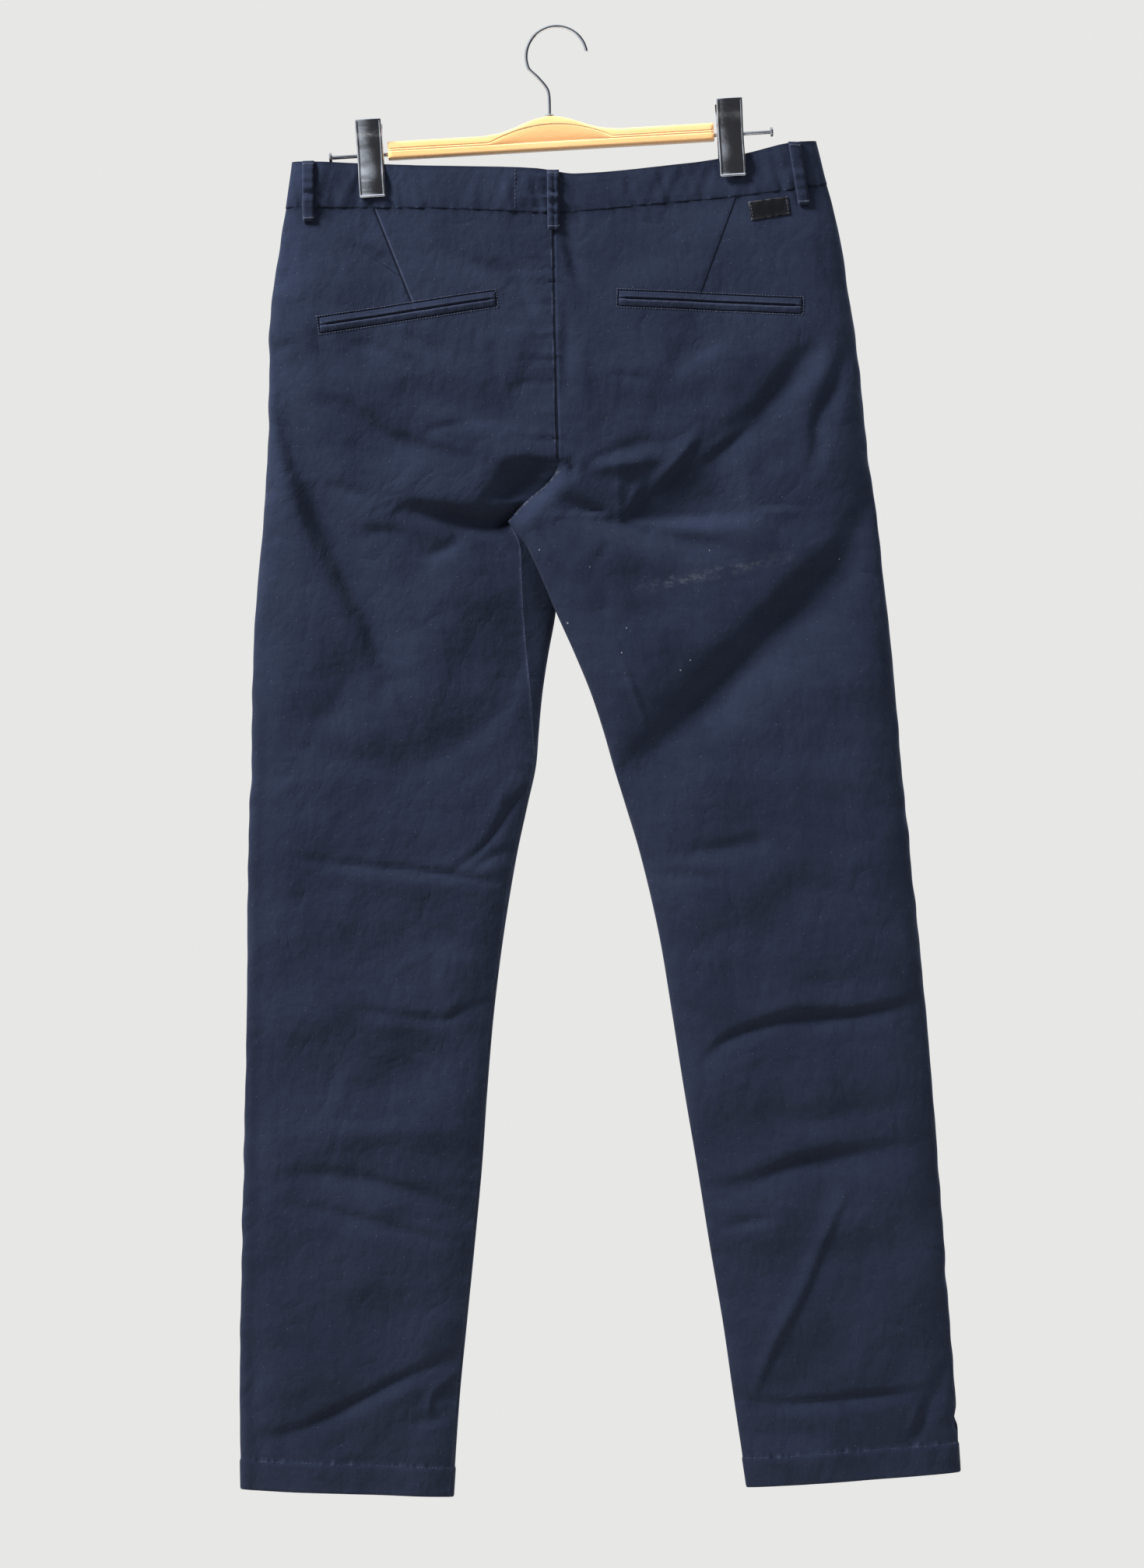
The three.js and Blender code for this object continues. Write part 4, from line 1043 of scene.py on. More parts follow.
def leather_finish():
    """Black smooth leather with a fine grain and slightly rubbed edges."""
    s = Shader("Patch leather")
    place = s.place()
    cell = s.add("ShaderNodeTexVoronoi", {"feature": "DISTANCE_TO_EDGE"}, Vector=place, Scale=1500.0)
    grain = s.step(Number(s, cell.outputs["Distance"]), 0.0, 0.25)
    soft = s.noise(place, 220, 4, 0.6)
    wear_and_painted_light = s.attribute("wear_and_painted_light")
    base = s.mix((0.0030, 0.0032, 0.0040, 1.0), (0.0085, 0.0088, 0.0100, 1.0), soft)
    base = s.mix(base, (0.10, 0.10, 0.11, 1.0), s.clamp(wear_and_painted_light * s.step(soft, 0.35, 0.6) * 0.7))
    height = grain * 0.00004 + (soft - 0.5) * 0.0002
    return s.surface(Base_Color=base, Roughness=0.7 + (soft - 0.5) * 0.25, Normal=s.bump(height),
                     Specular_IOR_Level=0.15)


def wood_finish():
    """Pale beech with fine grain and short flecks along the bar, under a clear lacquer."""
    s = Shader("Beech")
    along = s.stretched(s.place(), (1, 1, 1), (0, HANGER_TILT, 0))
    band = s.noise(s.stretched(along, (7, 60, 120)), 1.0, 4, 0.6, 0.6)
    fibre = s.noise(s.stretched(along, (45, 900, 1600)), 1.0, 3, 0.6)
    fleck = s.step(s.noise(s.stretched(along, (260, 1500, 2600)), 1.0, 2, 0.5), 0.62, 0.70)
    look = settings()
    base = s.mix(colour(look.wood_light), colour(look.wood_dark), s.step(band, 0.3, 0.75))
    base = s.mix(base, (0.45, 0.21, 0.065, 1.0), s.clamp(fibre * 0.22 + fleck * 0.28))
    shade = s.attribute("shade")
    base = s.mix(base, (0.40, 0.19, 0.07, 1.0), s.clamp(shade))
    # Painted highlight: negative shade paints a pale line along the grooves
    base = s.mix(base, (1.0, 0.80, 0.52, 1.0), s.clamp(-shade))
    height = (fibre - 0.5) * 0.00004 - fleck * 0.00003
    return s.surface(Base_Color=base, Roughness=0.42 + (fibre - 0.5) * 0.15, Normal=s.bump(height),
                     Coat_Weight=0.25, Coat_Roughness=0.25)


def metal_finish(name, base, roughness, smudge):
    """Plated or drawn steel with faint smudges and fine rubbing marks."""
    s = Shader(name)
    place = s.place()
    cloud = s.noise(place, 70, 4, 0.6)
    fine = s.noise(s.stretched(place, (2500, 2500, 160)), 1.0, 2, 0.5)
    tone = s.mix(colour(base), colour([c * 0.82 for c in base]), s.step(cloud, 0.45, 0.75))
    rough = roughness + s.step(cloud, 0.45, 0.7) * smudge + (fine - 0.5) * smudge * 0.5
    return s.surface(Base_Color=tone, Metallic=1.0, Roughness=rough,
                     Normal=s.bump((fine - 0.5) * 0.000006 + (cloud - 0.5) * 0.00008))


def button_finish():
    """Dark navy moulded button with a faint marbling."""
    s = Shader("Button")
    place = s.place()
    swirl = s.noise(place, 160, 3, 0.6, 2.5)
    base = s.mix((0.012, 0.015, 0.03, 1.0), (0.035, 0.042, 0.075, 1.0), s.step(swirl, 0.35, 0.7))
    return s.surface(Base_Color=base, Roughness=0.28 + (swirl - 0.5) * 0.15,
                     Normal=s.bump((swirl - 0.5) * 0.00002))


def stage_finish():
    """Plain grey floor, which throws little light back."""
    s = Shader("Grey floor")
    faint = s.noise(s.place(), 6, 2, 0.5)
    base = s.mix((0.28, 0.28, 0.275, 1.0), (0.32, 0.32, 0.315, 1.0), faint)
    return s.surface(Base_Color=base, Roughness=0.8)


MATERIALS = {}


def material(name):
    """Each finish is made once, when a piece first asks for it."""
    makers = {
        "twill": lambda: twill("Navy twill"),
        "twill_left": lambda: twill("Navy twill, left back", "left"),
        "twill_right": lambda: twill("Navy twill, right back", "right"),
        "thread": thread_finish,
        "leather": leather_finish,
        "wood": wood_finish,
        "chrome": lambda: metal_finish("Chrome", (0.78, 0.79, 0.81), 0.07, 0.07),
        "steel": lambda: metal_finish("Drawn steel", (0.62, 0.63, 0.65), 0.26, 0.12),
        "button": button_finish,
        "floor": stage_finish,
    }
    if name not in MATERIALS:
        MATERIALS[name] = makers[name]()
    return MATERIALS[name]


# What every tree ends with, as its nodes and links
TREE_ENDS = {
    "given": ("NodeGroupInput", {}, {}),
    "out": ("NodeGroupOutput", {}, {}),
    "real": ("GeometryNodeRealizeInstances", {}, {}),
    "smoothed": ("GeometryNodeSetShadeSmooth", {}, {}),
    "finish": ("GeometryNodeSetMaterial", {}, {}),
}
TREE_END_LINKS = [
    ("real", "Geometry", "smoothed", "Geometry"),
    ("smoothed", "Geometry", "finish", "Geometry"),
    ("given", "Material", "finish", "Material"),
    ("finish", "Geometry", "out", "Geometry"),
]


def grown_tree(name, inputs, nodes, links):
    """A node group that takes and gives a geometry.

    A node has a type, its own settings and the values of its sockets. A link runs from a node's
    output to a node's input.
    """
    tree = bpy.data.node_groups.new(name, "GeometryNodeTree")
    tree.interface.new_socket("Geometry", in_out="INPUT", socket_type="NodeSocketGeometry")
    tree.interface.new_socket("Geometry", in_out="OUTPUT", socket_type="NodeSocketGeometry")
    for label, (kind, default) in inputs.items():
        socket = tree.interface.new_socket(label, in_out="INPUT", socket_type=kind)
        socket.default_value = default
    tree.interface.new_socket("Material", in_out="INPUT", socket_type="NodeSocketMaterial")
    made = {}
    for label, (kind, own, values) in {**TREE_ENDS, **nodes}.items():
        node = made[label] = tree.nodes.new(kind)
        for key, value in own.items():
            setattr(node, key, value)
        for key, value in values.items():
            node.inputs[key].default_value = value
    for start, output, end, entry in (*links, *TREE_END_LINKS):
        tree.links.new(made[start].outputs[output], made[end].inputs[entry])
    return tree


def stitch_tree():
    """Stitches laid end to end along every chain of edges."""
    inputs = {
        "Pitch": ("NodeSocketFloat", 0.003),
        "Length": ("NodeSocketFloat", 0.0022),
        "Thickness": ("NodeSocketFloat", 0.0005),
        "Seed": ("NodeSocketInt", 3),
    }
    nodes = {
        "curve": ("GeometryNodeMeshToCurve", {}, {}),
        "spaced": ("GeometryNodeResampleCurve", {"mode": "LENGTH"}, {}),
        "tangent": ("GeometryNodeInputTangent", {}, {}),
        "align": ("FunctionNodeAlignRotationToVector", {"axis": "X"}, {}),
        "ball": ("GeometryNodeMeshUVSphere", {}, {"Segments": 6, "Rings": 4, "Radius": 0.5}),
        "size": ("ShaderNodeCombineXYZ", {}, {}),
        "uneven": ("FunctionNodeRandomValue", {"data_type": "FLOAT"}, {2: 0.85, 3: 1.15}),
        "scaled": ("ShaderNodeVectorMath", {"operation": "SCALE"}, {}),
        "placed": ("GeometryNodeInstanceOnPoints", {}, {}),
    }
    links = [
        ("given", "Geometry", "curve", "Mesh"),
        ("curve", "Curve", "spaced", "Curve"),
        ("given", "Pitch", "spaced", "Length"),
        ("tangent", "Tangent", "align", "Vector"),
        ("given", "Length", "size", "X"),
        ("given", "Thickness", "size", "Y"),
        ("given", "Thickness", "size", "Z"),
        ("given", "Seed", "uneven", "Seed"),
        ("size", 0, "scaled", 0),
        ("uneven", 1, "scaled", "Scale"),
        ("spaced", "Curve", "placed", "Points"),
        ("ball", "Mesh", "placed", "Instance"),
        ("align", "Rotation", "placed", "Rotation"),
        ("scaled", 0, "placed", "Scale"),
        ("placed", "Instances", "real", "Geometry"),
    ]
    return grown_tree("Stitch rows", inputs, nodes, links)


def coil_tree():
    """A coiled spring round the Z axis."""
    inputs = {
        "Turns": ("NodeSocketFloat", 7.0),
        "Radius": ("NodeSocketFloat", 0.004),
        "Width": ("NodeSocketFloat", 0.014),
        "Wire": ("NodeSocketFloat", 0.0008),
    }
    nodes = {
        "spiral": ("GeometryNodeCurveSpiral", {}, {"Resolution": 24}),
        "ring": ("GeometryNodeCurvePrimitiveCircle", {}, {"Resolution": 8}),
        "tube": ("GeometryNodeCurveToMesh", {}, {"Fill Caps": True}),
    }
    links = [
        ("given", "Turns", "spiral", "Rotations"),
        ("given", "Radius", "spiral", "Start Radius"),
        ("given", "Radius", "spiral", "End Radius"),
        ("given", "Width", "spiral", "Height"),
        ("given", "Wire", "ring", "Radius"),
        ("spiral", "Curve", "tube", "Curve"),
        ("ring", "Curve", "tube", "Profile Curve"),
        ("tube", "Mesh", "real", "Geometry"),
    ]
    return grown_tree("Coiled spring", inputs, nodes, links)


TREES = {}


def run_tree(piece, maker, **values):
    """Runs a node group on a piece and keeps the plain mesh that it gives."""
    if maker not in TREES:
        TREES[maker] = maker()
    tree = TREES[maker]
    modifier = piece.modifiers.new("Nodes", "NODES")
    modifier.node_group = tree
    sockets = {item.name: item.identifier for item in tree.interface.items_tree if item.in_out == "INPUT"}
    for key, value in values.items():
        modifier[sockets[key]] = value
    graph = bpy.context.evaluated_depsgraph_get()
    mesh = bpy.data.meshes.new_from_object(piece.evaluated_get(graph))
    piece.modifiers.remove(modifier)
    piece.data = mesh


def chains(name, lines):
    """A mesh of bare edges, one chain for each line of points in millimetres."""
    points, edges = [], []
    for line in lines:
        start = len(points)
        points.extend((np.asarray(line, float) * MM).tolist())
        edges.extend((start + k, start + k + 1) for k in range(len(line) - 1))
    mesh = bpy.data.meshes.new(name)
    mesh.from_pydata(points, edges, [])
    return link(name, mesh)


def stitches(name, lines, pitch=3.0, length=2.3, thickness=0.55, seed=3):
    """Stitches along lines on the cloth."""
    piece = chains(name, lines)
    run_tree(piece, stitch_tree, Pitch=pitch * MM, Length=length * MM, Thickness=thickness * MM,
             Seed=seed, Material=material("thread"))
    return finish_piece(piece, material("thread"), "navy_twill")


def on_cloth(half, face, points, lift=0.15, step=2.0):
    """A line on a panel's face, through x, z points, close enough to follow its folds."""
    points = np.array(points, float)
    out = []
    for a, b in zip(points[:-1], points[1:]):
        count = max(2, int(np.hypot(*(b - a)) / step))
        out.append(mix(a, b, np.linspace(0, 1, count, endpoint=False)[:, None]))
    line = np.vstack([*out, points[-1:]])
    y = face_y(half, face, line[:, 0], line[:, 1]) + face * lift
    return np.stack([line[:, 0], y, line[:, 1]], axis=-1)


PANEL_COLUMNS = {BACK: 130, FRONT: 90}
SEAT_ROWS, LEG_ROWS = 88, 220
FRONT_SEAT_ROWS, FRONT_LEG_ROWS = 60, 150


def edge_wear_and_painted_shade(half, grid):
    """Rubbed dye along the side seam and hem edge, pale and dark flecks along the hem's top edge, painted
    shadow under the waistband and, on the left leg, a strip of painted shade inside the side seam.
    """
    outward = OUTWARD[half]
    x, z = grid[..., 0], grid[..., 2]
    side = np.clip(outward * (outer_x(half, z) - x), 0, None)
    up = z - read(HEM_EDGE[half], x)
    wear_and_painted_light = 0.15 * np.exp(-side / 1.6) + 0.3 * np.exp(-up / 1.5)
    wear_and_painted_light += 0.7 * wobble(x, 51, 8) * np.exp(-(((up - HEM_HEIGHT + 0.6) / 1.1) ** 2))
    # Painted shadow under the waistband's lower edge
    wear_and_painted_light -= 0.5 * np.exp(-(read(WAIST_SEAM, x) - z) / 2.0)
    # Painted shade: a dark strip inside the left side seam, down the leg
    if half == "left":
        wear_and_painted_light -= 0.3 * np.exp(-(((side - 8) / 5) ** 2)) * smooth((-z - 520) / 60)
    return wear_and_painted_light


def back_wear_and_painted_light(half, grid):
    """Rubbing and painted shade of a back panel, with a painted highlight along the left leg's inseam."""
    x, z = grid[..., 0], grid[..., 2]
    wear_and_painted_light = edge_wear_and_painted_shade(half, grid)
    if half == "left":
        gap = np.abs(x - inseam_x(z))
        # Painted highlight: a thin bright line along the left inseam, stronger towards the crotch
        lit = (0.45 + 0.5 * smooth((z + 640) / 120)) * np.exp(-((gap / 1.4) ** 2))
        wear_and_painted_light += np.where(z < CROTCH_Z, lit, 0)
    return wear_and_painted_light


class BackPanels(bpy.types.Operator):
    """Back panels with the seat seam, darts and folds of the photograph"""
    bl_idname = "trousers.back_panels"
    bl_label = "Back panels"

    def execute(self, context):
        levels = make_levels(SEAT_ROWS, LEG_ROWS)
        for half in ("left", "right"):
            outer = back_panel(half, PANEL_COLUMNS[BACK], levels, 0.0)
            inner = back_panel(half, PANEL_COLUMNS[BACK], levels, settings().cloth_thickness / MM)
            piece = cloth_piece(f"cloth_back_{half}", outer, inner, back_wear_and_painted_light(half, outer))
            finish_piece(piece, material(f"twill_{half}"), "navy_twill", f"back_{half}")
            hem = stitches(f"stitches_back_{half}", [hem_row(half, BACK)])
            pocket = stitches(f"stitches_pocket_{half}", [pocket_frame(half, 1.5)], 2.3, 1.6, 0.7)
        return {"FINISHED"}


def hem_row(half, face, up=HEM_HEIGHT - 1.2):
    """Stitch line of a hem, across one face of a leg."""
    outward = OUTWARD[half]
    side = outer_x(half, read(HEM_EDGE[half], outward * 230.0) + up) - outward * 1.0
    inner_z = read(HEM_EDGE[half], -80.0 if half == "left" else 150.0) + up
    inner = inner_x(half, face, inner_z) + outward * 1.0
    x = np.linspace(side, inner, 90)
    z = read(HEM_EDGE[half], x) + up
    y = face_y(half, face, x, z, -0.1) + face * (0.1 + 0.35 * wobble(x, 53, 19))
    return np.stack([x, y, z], axis=-1)


def pocket_frame(half, margin):
    """Closed line round a pocket's welts."""
    (ax, az), (bx, bz) = POCKETS[half]
    along = np.array([bx - ax, bz - az])
    along /= np.hypot(*along)
    up = np.array([-along[1], along[0]])
    reach = WELT_SLIT / 2 + WELT_HEIGHT + margin
    a, b = np.array([ax, az]) - along * margin, np.array([bx, bz]) + along * margin
    corners = [a + up * reach, b + up * reach, b - up * reach, a - up * reach, a + up * reach]
    return on_cloth(half, BACK, corners, 0.35)


class FrontPanels(bpy.types.Operator):
    """Front panels, which turn round the inner folds of the legs"""
    bl_idname = "trousers.front_panels"
    bl_label = "Front panels"

    def execute(self, context):
        levels = make_levels(FRONT_SEAT_ROWS, FRONT_LEG_ROWS)
        for half in ("left", "right"):
            columns = PANEL_COLUMNS[FRONT]
            outer = front_panel(half, columns, levels, 0.0)
            inner = front_panel(half, columns, levels, settings().cloth_thickness / MM)
            rows, across = outer.shape[0] - 1, outer.shape[1] - 1
            i, j = np.meshgrid(np.arange(rows), np.arange(across), indexing="ij")
            cells = (j < columns) | (i >= FRONT_SEAT_ROWS)
            piece = cloth_piece(f"cloth_front_{half}", outer, inner, edge_wear_and_painted_shade(half, outer), cells)
            finish_piece(piece, material("twill"), "navy_twill", f"front_{half}")
            thread = stitches(f"stitches_front_{half}", [hem_row(half, FRONT)])
        return {"FINISHED"}


BAND_COLUMNS, BAND_ROWS = 120, 16


class Waistband(bpy.types.Operator):
    """Waistband halves, sewn down along both edges and lightly puckered"""
    bl_idname = "trousers.waistband"
    bl_label = "Waistband"

    def execute(self, context):
        for half in ("left", "right"):
            outer = waistband(half, BAND_COLUMNS, BAND_ROWS, 0.0)
            inner = waistband(half, BAND_COLUMNS, BAND_ROWS, BAND_WALL)
            edge = np.linspace(0, 1, BAND_ROWS + 1)[:, None]
            # Pale nicks of rubbing on a painted shadow along the waist seam, and the band darker along its
            # top edge
            nicks = smooth(wobble(outer[..., 0], 5, 9) * 2.5 - 0.6)
            wear_and_painted_light = (1.3 * nicks - 0.85) * np.exp(-edge / 0.035) - 0.3 * np.exp(-(1 - edge) / 0.05)
            piece = cloth_piece(f"cloth_waistband_{half}", outer, inner, wear_and_painted_light)
            finish_piece(piece, material("twill"), "navy_twill", f"waistband_{half}")
            thread = [stitches("stitches_waistband", [band_join()], pitch=3.2)] if half == "left" else []
        return {"FINISHED"}


def band_join():
    """Stitches of the waistband's upright join, beside the middle of the back."""
    up = np.linspace(0.1, 0.92, 20)
    join = band_surface("left", BACK, np.full_like(up, -33.4), up)
    join[:, 1] -= 0.15
    return join


class BeltLoops(bpy.types.Operator):
    """Belt loops with turned edges and bar tacks"""
    bl_idname = "trousers.belt_loops"
    bl_label = "Belt loops"

    def execute(self, context):
        for name, (half, face, x, top, lean, length) in LOOPS.items():
            w, low = LOOP_WIDTH / 2, top - length
            corners = [(x - w, top), (x + w, top), (x + w + lean, low), (x - w + lean, low)]

            def rise(u, v):
                stand = BAND_OUT + 1.1 + 1.3 * np.sin(np.pi * v) ** 0.6
                stand = stand + 1.15 * wobble(v * length, 7 + len(name), 14) * np.sin(np.pi * v)
                crown = 1.6 * rounded(u, 0.26) * (0.55 + 0.45 * rounded(v, 0.05))
                return stand + crown, stand - 0.6

            outer, inner = laid_strip(half, face, corners, 44, 14, rise)
            outer[..., 1] = with_band(outer, face)
            inner[..., 1] = with_band(inner, face)
            side = np.linspace(0, 1, 15)[None, :]
            # Painted highlight along the loop's edge at lower x and painted shade along its edge at higher x
            wear_and_painted_light = 0.3 * np.exp(-side / 0.07) - 0.7 * np.exp(-(1 - side) / 0.14)
            wear_and_painted_light = np.broadcast_to(wear_and_painted_light, outer.shape[:2])
            piece = cloth_piece(f"cloth_{name}", outer, inner, wear_and_painted_light)
            finish_piece(piece, material("twill"), "navy_twill", name)
            tacks = []
            for i in (2, 41):
                zigzag = [outer[i + k % 2, 1 + k] + (0, face * 0.25, 0) for k in range(13)]
                tacks.append(zigzag)
            bars = stitches(f"tacks_{name}", tacks, pitch=0.8, length=1.5, thickness=0.5)
        return {"FINISHED"}


def with_band(points, face):
    """Depth of a loop's points, raised over the waistband's step."""
    x, y, z = points[..., 0], points[..., 1], points[..., 2]
    over = smooth((z - read(WAIST_SEAM, x) + 2.5) / 3)
    return y + face * (0.5 * over)


class BackPockets(bpy.types.Operator):
    """Welts of the back pockets, an upper and a lower one with a slit between them"""
    bl_idname = "trousers.back_pockets"
    bl_label = "Back pockets"

    def execute(self, context):
        for half, ((ax, az), (bx, bz)) in POCKETS.items():
            for side, upper in (("upper", 1), ("lower", -1)):
                near, far = upper * WELT_SLIT / 2, upper * (WELT_SLIT / 2 + WELT_HEIGHT)
                corners = [(ax, az + far), (bx, bz + far), (bx, bz + near), (ax, az + near)]

                def rise(u, v):
                    roll = 1.7 * np.clip(v + 0.05, 0, 1) ** 0.6 * round_in(1 - v, 0.3)
                    roll = roll + 0.22 * wobble(u * 143, 5 + upper, 13) * v
                    crown = (0.25 + roll) * (0.4 + 0.6 * rounded(u, 0.02))
                    return 0.15 + crown, np.full_like(u, -0.3)

                def shift(u, v):
                    from_end = np.minimum(u, 1 - u) * 143
                    return -upper * 0.5 * WELT_SLIT * v ** 3 * (1 - smooth((from_end - 4) / 1.5))

                outer, inner = laid_strip(half, BACK, corners, 12, 150, rise, shift)
                v = np.linspace(0, 1, 13)[:, None]
                wear_and_painted_light = np.broadcast_to(0.45 * np.exp(-(((v - 0.8) / 0.16) ** 2)), outer.shape[:2])
                name = f"pocket_welt_{side}_{half}"
                piece = cloth_piece(f"cloth_{name}", outer, inner, wear_and_painted_light)
                finish_piece(piece, material("twill"), "navy_twill", name)
        return {"FINISHED"}


class FrontTrim(bpy.types.Operator):
    """Hand pocket edges, fly and button of the front"""
    bl_idname = "trousers.front_trim"
    bl_label = "Front trim"

    def execute(self, context):
        for half in ("left", "right"):
            self.pocket_edge(half)
        self.fly()
        self.button()
        return {"FINISHED"}

    def pocket_edge(self, half):
        outward = OUTWARD[half]
        top = float(read(WAIST_SEAM, outward * 158.0)) - 1
        corners = [(outward * 152, top), (outward * 162, top), (outward * 224, -289), (outward * 221, -304)]

        def rise(u, v):
            edge = 0.3 + 1.2 * round_in(1 - u, 0.18) * np.clip(u * 5, 0, 1) ** 0.5
            return edge + 0.2 * wobble(v * 170, 8, 19), np.full_like(u, -0.2)

        outer, inner = laid_strip(half, FRONT, corners, 90, 10, rise)
        wear_and_painted_light = np.broadcast_to(0.55 * np.exp(-(1 - np.linspace(0, 1, 11)[None, :]) / 0.1), outer.shape[:2])
        piece = cloth_piece(f"cloth_pocket_edge_{half}", outer, inner, wear_and_painted_light)
        finish_piece(piece, material("twill"), "navy_twill", f"pocket_edge_{half}")
        thread = stitches(f"stitches_pocket_edge_{half}", [outer[2:-2, 3] + (0, 0.15, 0)])

    def fly(self):
        top = float(read(WAIST_SEAM, float(FRONT_SEAM_X))) - 0.6
        right = FRONT_SEAM_X + FLY["overlap"]
        rows, columns = 80, 24
        v, u = np.meshgrid(np.linspace(0, 1, rows + 1), np.linspace(0, 1, columns + 1), indexing="ij")
        down = FLY["depth"] * v
        curve = np.clip((down - FLY["straight"]) / (FLY["depth"] - FLY["straight"]), 0, 1)
        width = 6 + (FLY["width"] - 6) * np.sqrt(1 - curve ** 2)
        x = right - width * (1 - u)
        z = top - down
        near = np.maximum(face_y("left", FRONT, x, z), face_y("right", FRONT, x, z))
        lap = 0.5 + 0.9 * round_in(1 - u, 0.06) + 0.18 * wobble(z, 15, 17) * u
        outer = np.stack([x, near + lap * round_in(u, 0.05) * round_in(1 - v, 0.03), z], axis=-1)
        inner = np.stack([x, near - 0.4, z], axis=-1)
        wear_and_painted_light = 0.5 * np.exp(-(1 - u) / 0.05)
        piece = cloth_piece("cloth_fly_placket", outer, inner, wear_and_painted_light)
        finish_piece(piece, material("twill"), "navy_twill", "fly_placket")
        thread = stitches("stitches_fly", [outer[1:-1, 2] + (0, 0.2, 0)])

    def button(self):
        low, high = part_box("waist_button")
        centre = (low + high) / 2 / MM
        radius = (high[0] - low[0]) / 2 / MM
        thick = (high[1] - low[1]) / MM
        profile = [(0.0, -0.5), (0.88, -0.5), (1.0, -0.3), (1.0, 0.12), (0.96, 0.4), (0.86, 0.5), (0.76, 0.4),
                   (0.66, 0.12), (0.3, 0.05), (0.0, 0.05)]
        points, faces = lathe(profile, 56, (radius, thick))
        points = np.stack([points[:, 0], points[:, 2], points[:, 1]], axis=-1) + np.array(centre)
        piece = mesh_piece("button_shell", points, faces, 60)
        recalculate(piece)
        finish_piece(piece, material("button"), "dark_button", "waist_button")
        hole, lift = 2.2, thick * 0.05 + 0.35
        lines = []
        for side in (-1, 1):
            steps = np.linspace(-1, 1, 9)
            lines.append(np.stack([centre[0] + side * hole + 0 * steps, centre[1] + lift - 0.5 * steps ** 4,
                                   centre[2] + hole * steps], axis=-1))
        stitches("stitches_button", lines, pitch=0.35, length=1.0, thickness=1.1)


def lathe(profile, sides, scale):
    """Points and faces of a turned shape round Z, from radius, height pairs, closed at both poles."""
    angle = np.linspace(0, 2 * np.pi, sides, endpoint=False)
    points, faces = [(0, 0, profile[0][1] * scale[1])], []
    for r, h in profile[1:-1]:
        points.extend((r * scale[0] * math.cos(a), r * scale[0] * math.sin(a), h * scale[1]) for a in angle)
    points.append((0, 0, profile[-1][1] * scale[1]))
    rings = len(profile) - 2
    last = len(points) - 1
    for k in range(sides):
        n = (k + 1) % sides
        faces.append((0, 1 + n, 1 + k))
        for r in range(rings - 1):
            a = 1 + r * sides
            faces.append((a + k, a + n, a + sides + n, a + sides + k))
        top = 1 + (rings - 1) * sides
        faces.append((top + k, top + n, last))
    return np.array(points, float), faces


def recalculate(piece):
    """Turns all faces of a closed mesh outwards."""
    mesh = bmesh.new()
    mesh.from_mesh(piece.data)
    bmesh.ops.recalc_face_normals(mesh, faces=mesh.faces)
    mesh.to_mesh(piece.data)
    mesh.free()


class Patch(bpy.types.Operator):
    """Leather patch under the waistband, left bare"""
    bl_idname = "trousers.patch"
    bl_label = "Leather patch"

    def execute(self, context):
        def rise(u, v):
            edge = rounded(u, 0.035) * rounded(v, 0.08)
            frame_line = np.maximum(np.abs(u - 0.5) / 0.455, np.abs(v - 0.5) / 0.39)
            pressed = 0.28 * np.exp(-(((frame_line - 1) / 0.035) ** 2))
            return 0.35 + 1.35 * edge - pressed, np.full_like(u, -0.2)

        outer, inner = laid_strip("right", BACK, PATCH, 40, 84, rise)
        u, v = np.linspace(0, 1, 85)[None, :], np.linspace(0, 1, 41)[:, None]
        wear_and_painted_light = np.clip(np.exp(-np.minimum(u, 1 - u) / 0.02) + np.exp(-np.minimum(v, 1 - v) / 0.04), 0, 1)
        piece = cloth_piece("leather_patch", outer, inner, wear_and_painted_light)
        finish_piece(piece, material("leather"), "black_leather", "waist_patch")
        rows = [outer[3:-3, 4] + (0, -0.12, 0), outer[3:-3, -5] + (0, -0.12, 0)]
        thread = stitches("stitches_patch", rows, pitch=2.4, length=1.8)
        return {"FINISHED"}


def hung(points):
    """Turns points from the hanger's own frame to the garment's."""
    turn = Matrix.Rotation(-HANGER_TILT, 3, "Y")
    place = np.array([HANGER_PLACE[0], 0, HANGER_PLACE[1]])
    return np.asarray(points, float) @ np.array(turn).T + place


def tube(path, radius, sides=20, cap=4):
    """Points and faces of a round wire along a path in the XZ plane, with rounded ends."""
    path = np.asarray(path, float)
    tangent = np.gradient(path, axis=0)
    tangent /= np.linalg.norm(tangent, axis=1)[:, None]
    centres, radii, tangents = [], [], []
    for k in range(cap):
        angle = math.pi / 2 * k / cap
        centres.append(path[0] - tangent[0] * radius * math.cos(angle))
        radii.append(radius * math.sin(angle))
        tangents.append(tangent[0])
    centres.extend(path)
    radii.extend([radius] * len(path))
    tangents.extend(tangent)
    for k in reversed(range(cap)):
        angle = math.pi / 2 * k / cap
        centres.append(path[-1] + tangent[-1] * radius * math.cos(angle))
        radii.append(radius * math.sin(angle))
        tangents.append(tangent[-1])
    across = np.array([0.0, 1.0, 0.0])
    points, faces = [centres[0]], []
    for c, r, t in zip(centres[1:-1], radii[1:-1], tangents[1:-1]):
        out = np.cross(t, across)
        points.extend(c + r * (math.cos(a) * out + math.sin(a) * across)
                      for a in np.linspace(0, 2 * np.pi, sides, endpoint=False))
    points.append(centres[-1])
    rings, last = len(centres) - 2, len(points) - 1
    for k in range(sides):
        n = (k + 1) % sides
        faces.append((0, 1 + n, 1 + k))
        for r in range(rings - 1):
            a = 1 + r * sides
            faces.append((a + k, a + n, a + sides + n, a + sides + k))
        faces.append((1 + (rings - 1) * sides + k, 1 + (rings - 1) * sides + n, last))
    return np.array(points), faces


